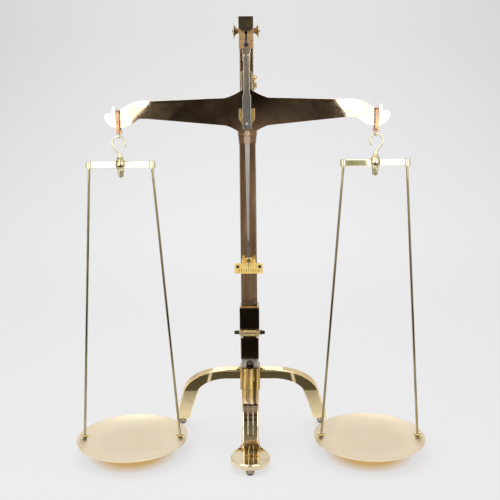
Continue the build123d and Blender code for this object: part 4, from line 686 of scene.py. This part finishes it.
@dataclass
class TurnedBeads:
    """Fine turned beads on the pans' rims, balusters and the spindle's ends, with sizes in millimetres."""

    hanger_x: float = 228.6
    hanger_y: float = -21.0
    rim_radius: float = 104.8
    rim_wire: float = 1.1
    rim_z: float = 32.85
    neck_radius: float = 5.3
    neck_wire: float = 0.55
    neck_z: float = 569.6
    foot_radius: float = 5.6
    foot_wire: float = 0.6
    foot_z: float = 551.2
    grip_radius: float = 3.55
    grip_wire: float = 0.32
    grip_count: int = 4
    grip_pitch: float = 0.95
    grip_x: float = 20.4
    spindle_y: float = 4.0
    spindle_z: float = 235.0

    def build(self, materials: dict[str, Material]) -> None:
        """Turn every bead.

        Args:
            materials: The materials by name.
        """
        tool = make_ring_tool()
        beads = (
            ("pan_rim_bead", "pan_brass", "pan_brass", self.rim_radius, self.rim_wire, self.rim_z),
            ("neck_bead", "hanger_brass", "baluster_brass", self.neck_radius, self.neck_wire, self.neck_z),
            ("foot_bead", "hanger_brass", "baluster_brass", self.foot_radius, self.foot_wire, self.foot_z),
        )
        for side, sign in SIDES.items():
            for stem, slot, finish, radius, wire, height in beads:
                place = Vector((sign * self.hanger_x, self.hanger_y, height)) * MILLIMETRE
                tool.make(f"{side}_{stem}", f"{side}_hanger", slot, {
                    "Radius": radius * MILLIMETRE, "Wire": wire * MILLIMETRE, "Count": 1,
                    "Place": place, "Material": materials[finish]})
        along_x = Vector((0.0, math.pi / 2, 0.0))
        reach = self.grip_pitch * (self.grip_count - 1)
        for side, start in (("left", -self.grip_x - reach), ("right", self.grip_x)):
            tool.make(f"{side}_grip_rings", "spindle", "dark_steel", {
                "Radius": self.grip_radius * MILLIMETRE, "Wire": self.grip_wire * MILLIMETRE,
                "Count": self.grip_count, "Pitch": self.grip_pitch * MILLIMETRE, "Turn": along_x,
                "Place": Vector((start, self.spindle_y, self.spindle_z)) * MILLIMETRE,
                "Material": materials["spindle_steel"]})


def rectangle(across: Span, along: Span) -> list[Span]:
    """Outline a rectangle in a plane.

    Args:
        across: Its first and last place on the plane's first axis.
        along: Its first and last place on the plane's second axis.

    Returns:
        Its four corners.
    """
    (left, right), (near, far) = across, along
    return [(left, near), (right, near), (right, far), (left, far)]


def lay(outline: list[Span], z: float) -> list[Point]:
    """Lay an outline level.

    Args:
        outline: Its corners as X and Y.
        z: Its height.

    Returns:
        The corners in space.
    """
    return [(x, y, z) for x, y in outline]


def stand(outline: list[Span], y: float) -> list[Point]:
    """Stand an outline upright, facing the balance.

    Args:
        outline: Its corners as X and Z.
        y: Where it stands.

    Returns:
        The corners in space.
    """
    return [(x, y, z) for x, z in outline]


@dataclass
class Studio:
    """The camera, the paper sweep, the lamp and the flags that polished metal mirrors.

    Places and sizes are in metres, angles in degrees, and the lens and the sensor in millimetres.
    """

    camera_place: Point = (0.0247, -1.4575, 0.7055)
    pitch_down: float = 11.97
    yaw: float = -0.877
    roll: float = -0.633
    lens: float = 57.6
    sensor: float = 36.0
    sweep_half_width: float = 5.0
    sweep_front: float = -5.0
    wall_y: float = 2.2
    wall_height: float = 4.0
    sweep_radius: float = 0.9
    sweep_steps: int = 24
    pan_x: float = 0.2286
    pan_y: float = -0.021
    pool_reach: Span = (0.054, 0.086)
    painted_pool_colour: Colour = (0.81, 0.54, 0.21)
    paper_white: float = 0.80
    world_strength: float = 0.78
    flag_y: float = -1.55
    flag_top: float = 1.15
    overhead_z: float = 2.0
    paper_edge: float = -0.50
    lamp_size: float = 2.4
    lamp_power: float = 24.0
    olive: Colour = (0.10, 0.095, 0.07)

    def make_camera(self) -> None:
        """Put the camera where the photograph was taken from."""
        pitch, yaw, roll = (math.radians(a) for a in (self.pitch_down, self.yaw, self.roll))
        forward = Vector((math.sin(yaw) * math.cos(pitch), math.cos(yaw) * math.cos(pitch), -math.sin(pitch)))
        level = Vector((math.cos(yaw), -math.sin(yaw), 0.0))
        upright = level.cross(forward)
        right = level * math.cos(roll) + upright * math.sin(roll)
        up = upright * math.cos(roll) - level * math.sin(roll)
        data = bpy.data.cameras.new("camera")
        data.lens = self.lens
        data.sensor_width = self.sensor
        camera = bpy.data.objects.new("camera", data)
        turn = Matrix((right, up, -forward)).transposed().to_4x4()
        camera.matrix_world = Matrix.Translation(self.camera_place) @ turn
        bpy.context.scene.collection.objects.link(camera)
        bpy.context.scene.camera = camera

    def make_world(self) -> None:
        """Light everything with an even white world."""
        world = bpy.data.worlds.new("studio")
        world.use_nodes = True
        background = world.node_tree.nodes["Background"]
        background.inputs["Color"].default_value = (1.0, 1.0, 1.0, 1.0)
        background.inputs["Strength"].default_value = self.world_strength
        bpy.context.scene.world = world

    def make_sweep(self) -> None:
        """Lay the paper floor, curved up into a wall behind the balance."""
        profile = [(self.sweep_front, 0.0), (self.wall_y - self.sweep_radius, 0.0)]
        for step in range(1, self.sweep_steps + 1):
            angle = math.pi / 2 * step / self.sweep_steps
            profile.append((self.wall_y - self.sweep_radius + self.sweep_radius * math.sin(angle),
                            self.sweep_radius * (1 - math.cos(angle))))
        profile.append((self.wall_y, self.wall_height))
        points = [(x, y, z) for y, z in profile for x in (-self.sweep_half_width, self.sweep_half_width)]
        faces = [(2 * i, 2 * i + 1, 2 * i + 3, 2 * i + 2) for i in range(len(profile) - 1)]
        paper = self.stage_mesh("paper_sweep", points, faces)
        for face in paper.data.polygons:
            face.use_smooth = True
        paper.data.materials.append(self.paper_material())

    def paper_material(self) -> Material:
        """White paper, with a plain tone and painted shade where it rises, and a painted pool of golden light
        below the pans.

        Returns:
            The material.
        """
        made = bpy.data.materials.new("paper")
        made.use_nodes = True
        graph = Graph(made.node_tree)
        graph.tree.nodes.clear()
        place = graph.node("ShaderNodeSeparateXYZ", {0: graph.node("ShaderNodeTexCoord").outputs["Object"]})
        floor_share, floor_end, wall_start, blue_share = 0.70, 0.9, 1.7, 1.005
        white, blue_white = self.paper_white, self.paper_white * blue_share
        pools = [self.painted_pan_pool(graph, place, sign * self.pan_x) for sign in SIDES.values()]
        # Painted light: the pools tint the paper's colour gold below the pans.
        pool_light_tint = graph.mix(graph.math("ADD", *pools, clamp=True), (1.0, 1.0, 1.0), self.painted_pool_colour)
        rays = graph.node("ShaderNodeLightPath").outputs
        seen = graph.math("ADD", graph.math("ADD", rays["Is Camera Ray"], rays["Is Glossy Ray"]),
                          rays["Is Transmission Ray"], clamp=True)
        behind = graph.remap(place.outputs["Y"], (floor_end, wall_start), (floor_share, 1.0))
        paper_colour = graph.mix(1.0, (white, white, blue_white), pool_light_tint, blend="MULTIPLY")
        glow_colour = graph.mix(1.0, self.paper_tone_and_shade(graph, place), pool_light_tint, blend="MULTIPLY")
        diffuse = graph.node("ShaderNodeBsdfPrincipled", {
            "Base Color": paper_colour, "Roughness": 1.0, "Specular IOR Level": 0.0})
        glow = graph.node("ShaderNodeEmission", {"Color": glow_colour, "Strength": 1.0})
        shader = graph.node("ShaderNodeMixShader", {0: graph.math("MULTIPLY", seen, behind),
                                                    1: diffuse.outputs[0], 2: glow.outputs[0]})
        graph.node("ShaderNodeOutputMaterial", {"Surface": shader.outputs[0]})
        return made

    @staticmethod
    def paper_tone_and_shade(graph: Graph, place: Node) -> NodeSocket:
        """Give the paper's plain tone painted shade, darker with its height and towards its sides.

        Args:
            graph: The paper's graph.
            place: The separated place on the paper.

        Returns:
            The tone's colour.
        """
        low_tone, high_tone, tone_rise = 0.855, 0.775, (0.1, 0.9)
        side_x, side_rise, side_depth = 1.3, (0.2, 1.1), (0.10, 0.13)
        blue_share = 1.012
        # Painted shade: the tone falls with height and towards the sides.
        tone = graph.remap(place.outputs["Z"], tone_rise, (low_tone, high_tone))
        side = graph.math("POWER", graph.math("DIVIDE", place.outputs["X"], side_x), 2.0, clamp=True)
        darker = graph.math("MULTIPLY", side, graph.remap(place.outputs["Z"], side_rise, side_depth))
        tone = graph.math("SUBTRACT", tone, darker)
        blue = graph.math("MULTIPLY", tone, blue_share)
        return graph.node("ShaderNodeCombineColor", {0: tone, 1: tone, 2: blue}).outputs[0]

    def painted_pan_pool(self, graph: Graph, place: Node, pan_x: float) -> NodeSocket:
        """Mask a painted pool of golden light on the paper below a polished pan, standing in for the light
        that the pan throws.

        Args:
            graph: The paper's graph.
            place: The separated place on the paper.
            pan_x: Where the pan's axis stands.

        Returns:
            The mask, 1 near the axis and 0 from the pool's edge outwards.
        """
        across = graph.math("POWER", graph.math("SUBTRACT", place.outputs["X"], pan_x), 2.0)
        along = graph.math("POWER", graph.math("SUBTRACT", place.outputs["Y"], self.pan_y), 2.0)
        distance = graph.math("SQRT", graph.math("ADD", across, along))
        return graph.remap(distance, self.pool_reach, (1.0, 0.0))

    @staticmethod
    def stage_mesh(name: str, points: list[Point], faces: list[tuple[int, ...]]) -> bpy.types.Object:
        """Add a stage object.

        Args:
            name: Its name.
            points: Its corners.
            faces: Its faces, as the numbers of their corners.

        Returns:
            The object.
        """
        mesh = bpy.data.meshes.new(name)
        mesh.from_pydata(points, [], faces)
        mesh.update()
        made = bpy.data.objects.new(name, mesh)
        bpy.context.scene.collection.objects.link(made)
        return made

    def make_flag(self, name: str, corners: list[Point], tones: list[tuple[float, Colour]], axis: str,
                  clutter: float = 0.0) -> None:
        """Hang a flag that only reflections see.

        Args:
            name: Its name.
            corners: The corners of its outline.
            tones: Colours along the axis, each with the place where it stands.
            axis: The axis that the tones follow.
            clutter: Scale of the lighter and darker spots of a cluttered room, or 0 for an even flag.
        """
        flag = self.stage_mesh(name, corners, [tuple(range(len(corners)))])
        flag.visible_camera = False
        flag.visible_diffuse = False
        flag.visible_shadow = False
        flag.visible_transmission = False
        made = bpy.data.materials.new(name)
        made.use_nodes = True
        graph = Graph(made.node_tree)
        graph.tree.nodes.clear()
        point = graph.node("ShaderNodeTexCoord").outputs["Object"]
        place = graph.node("ShaderNodeSeparateXYZ", {0: point})
        low, high = tones[0][0], tones[-1][0]
        along = graph.remap(place.outputs[axis], (low, high), (0.0, 1.0))
        ramp = graph.node("ShaderNodeValToRGB", {0: along})
        stops = ramp.color_ramp.elements
        stops[0].color = (*tones[0][1], 1.0)
        stops[1].color = (*tones[-1][1], 1.0)
        for where, colour in tones[1:-1]:
            stops.new((where - low) / (high - low)).color = (*colour, 1.0)
        colour = ramp.outputs[0]
        if clutter:
            spot_span, spot_light = (0.38, 0.66), (0.45, 2.6)
            light = graph.remap(graph.noise(point, clutter, detail=3.0), spot_span, spot_light)
            grey = graph.node("ShaderNodeCombineColor", {0: light, 1: light, 2: light})
            colour = graph.mix(1.0, colour, grey.outputs[0], blend="MULTIPLY")
        glow = graph.node("ShaderNodeEmission", {"Color": colour, "Strength": 1.0})
        graph.node("ShaderNodeOutputMaterial", {"Surface": glow.outputs[0]})
        flag.data.materials.append(made)

    def make_camera_side(self) -> None:
        """Set the table's edge and the dark room round the camera, which the upright faces mirror."""
        black, brown, far_brown = (0.012, 0.010, 0.009), (0.31, 0.27, 0.23), (0.27, 0.235, 0.205)
        table_x, table_z, brown_to, black_from = (-1.2, 1.2), 0.002, -1.06, -1.02
        self.make_flag("table_beyond_paper", lay(rectangle(table_x, (self.flag_y, self.paper_edge)), table_z),
                       [(self.flag_y, far_brown), (brown_to, brown), (black_from, black),
                        (self.paper_edge, black)], "Y")
        top = self.flag_top
        left_edge = [(-0.26, top), (-0.383, 0.628), (-0.447, 0.566), (-0.46, 0.50), (-0.355, 0.43),
                     (-0.33, 0.0)]
        right_edge = [(0.46, 0.0), (0.413, 0.41), (0.345, 0.52), (0.333, 0.585), (0.299, 0.628), (0.24, top)]
        room = [(0.0, (0.25, 0.215, 0.19)), (0.30, (0.15, 0.125, 0.105)), (0.46, (0.10, 0.080, 0.062)),
                (0.51, (0.10, 0.075, 0.055)), (0.55, (0.045, 0.034, 0.026)), (0.58, (0.028, 0.023, 0.019)),
                (0.67, (0.020, 0.015, 0.011)), (0.72, (0.12, 0.10, 0.075)), (0.80, (0.05, 0.045, 0.035)),
                (top, (0.05, 0.045, 0.035))]
        clutter = 6.0
        self.make_flag("dark_camera_side", stand(left_edge + right_edge, self.flag_y), room, "Z", clutter)
        fringe_gap, fringe, shade, bend = 0.002, (0.13, 0.11, 0.08), (0.03, 0.024, 0.018), slice(1, 5)
        fringes = (("left_fringe", left_edge[bend], 0.13), ("right_fringe", right_edge[bend], -0.10))
        for name, edge, wide in fringes:
            outline = edge + [(x + wide, z) for x, z in reversed(edge)]
            tones = (fringe, shade) if wide > 0 else (shade, fringe)
            places = (min(x for x, z in outline), max(x for x, z in outline))
            self.make_flag(name, stand(outline, self.flag_y + fringe_gap), list(zip(places, tones)), "X")
        card_gap, card_x, card_z = 0.004, (0.29, 0.408), (0.34, 0.46)
        card_tones = ((0.34, 0.38, 0.25), (0.42, 0.46, 0.32))
        self.make_flag("olive_card", stand(rectangle(card_x, card_z), self.flag_y + card_gap),
                       list(zip(card_x, card_tones)), "X")

    def make_softboxes(self) -> None:
        """Stand two bright softboxes beside the camera, which the beam's ends mirror."""
        soft, softer = (2.7, 2.7, 2.7), (2.2, 2.2, 2.2)
        gap, low, even_from, high = 0.01, 0.35, 0.50, 2.0
        for name, x_span in (("left_softbox", (-0.22, -2.2)), ("right_softbox", (0.22, 2.0))):
            self.make_flag(name, stand(rectangle(x_span, (low, high)), self.flag_y - gap),
                           [(low, softer), (even_from, soft), (high, soft)], "Z")

    def make_arch_cards(self) -> None:
        """Lay dark and pale cards on the paper below the rear legs, which mirror them."""
        near, far, back, low = -0.03, 0.055, 0.16, 0.002
        grey_at, white_at = 0.08, 0.14
        pale = [(far, (0.42, 0.42, 0.40)), (grey_at, (0.66, 0.66, 0.65)), (white_at, (1.25, 1.25, 1.25))]
        dark = [(near, self.olive), (far, self.olive)]
        for side, sign in SIDES.items():
            inner = [(sign * 0.008, near), (sign * 0.072, near), (sign * 0.092, far), (sign * 0.008, far)]
            outer = [(sign * 0.078, near), (sign * 0.17, near), (sign * 0.17, far), (sign * 0.098, far)]
            ends = rectangle((sign * 0.09, sign * 0.22), (far, back))
            self.make_flag("dark_under_" + side, lay(inner, low), dark, "Y")
            self.make_flag("dark_under_bend_" + side, lay(outer, low), dark, "Y")
            self.make_flag("bright_under_" + side, lay(ends, low), pale, "Y")

    def make_overhead_cards(self) -> None:
        """Hang dark cards overhead, which the level and sloping faces mirror."""
        half, slant_end, strip_x, strip_end = 0.2, -0.35, (-0.08, 0.012), 0.9
        brown, dim = (0.2, 0.19, 0.15), (0.30, 0.26, 0.235)
        top, high = self.flag_top, self.overhead_z
        self.make_flag("dark_overhead", [(-half, self.flag_y, top), (half, self.flag_y, top),
                                         (half, slant_end, high), (-half, slant_end, high)],
                       [(top, self.olive), (high, brown)], "Z")
        self.make_flag("dark_overhead_strip", lay(rectangle(strip_x, (slant_end, strip_end)), high),
                       [(slant_end, brown), (strip_end, dim)], "Y")

    def make_striped_table(self) -> None:
        """Lay stripes on the paper in front, which the front leg mirrors."""
        x_span, y_span, low = (-0.036, 0.024), (-0.5, -0.16), 0.003
        bright, mid, dark = (1.25, 1.25, 1.25), (0.45, 0.42, 0.36), (0.10, 0.085, 0.05)
        self.make_flag("striped_table", lay(rectangle(x_span, y_span), low),
                       [(-0.036, mid), (-0.022, mid), (-0.020, bright), (-0.015, bright), (-0.013, dark),
                        (-0.008, mid), (-0.003, bright), (0.000, bright), (0.002, dark), (0.008, dark),
                        (0.011, bright), (0.015, bright), (0.017, mid), (0.024, mid)], "X")

    def make_lamp(self) -> None:
        """Hang one large soft lamp overhead, a little to the front left."""
        place, aim = Vector((-0.35, -0.45, 2.4)), Vector((0.0, 0.0, 0.2))
        data = bpy.data.lights.new("overhead", "AREA")
        data.shape = "SQUARE"
        data.size = self.lamp_size
        data.energy = self.lamp_power
        lamp = bpy.data.objects.new("overhead", data)
        lamp.location = place
        lamp.rotation_mode = "QUATERNION"
        lamp.rotation_quaternion = (aim - place).to_track_quat("-Z", "Y")
        bpy.context.scene.collection.objects.link(lamp)

    def build(self) -> None:
        """Set the whole studio up."""
        self.make_camera()
        self.make_world()
        self.make_sweep()
        self.make_camera_side()
        self.make_softboxes()
        self.make_arch_cards()
        self.make_overhead_cards()
        self.make_striped_table()
        self.make_lamp()
        log.info("studio ready")


def main() -> None:
    """Build the studio and dress the balance."""
    logging.basicConfig(level=logging.INFO, format="%(name)s: %(message)s")
    bpy.context.scene.view_settings.view_transform = "Standard"
    Studio().build()
    shop = MetalShop()
    shop.dress_all()
    ScaleTicks().build(shop.materials)
    TurnedBeads().build(shop.materials)


if __name__ == "__main__":
    main()
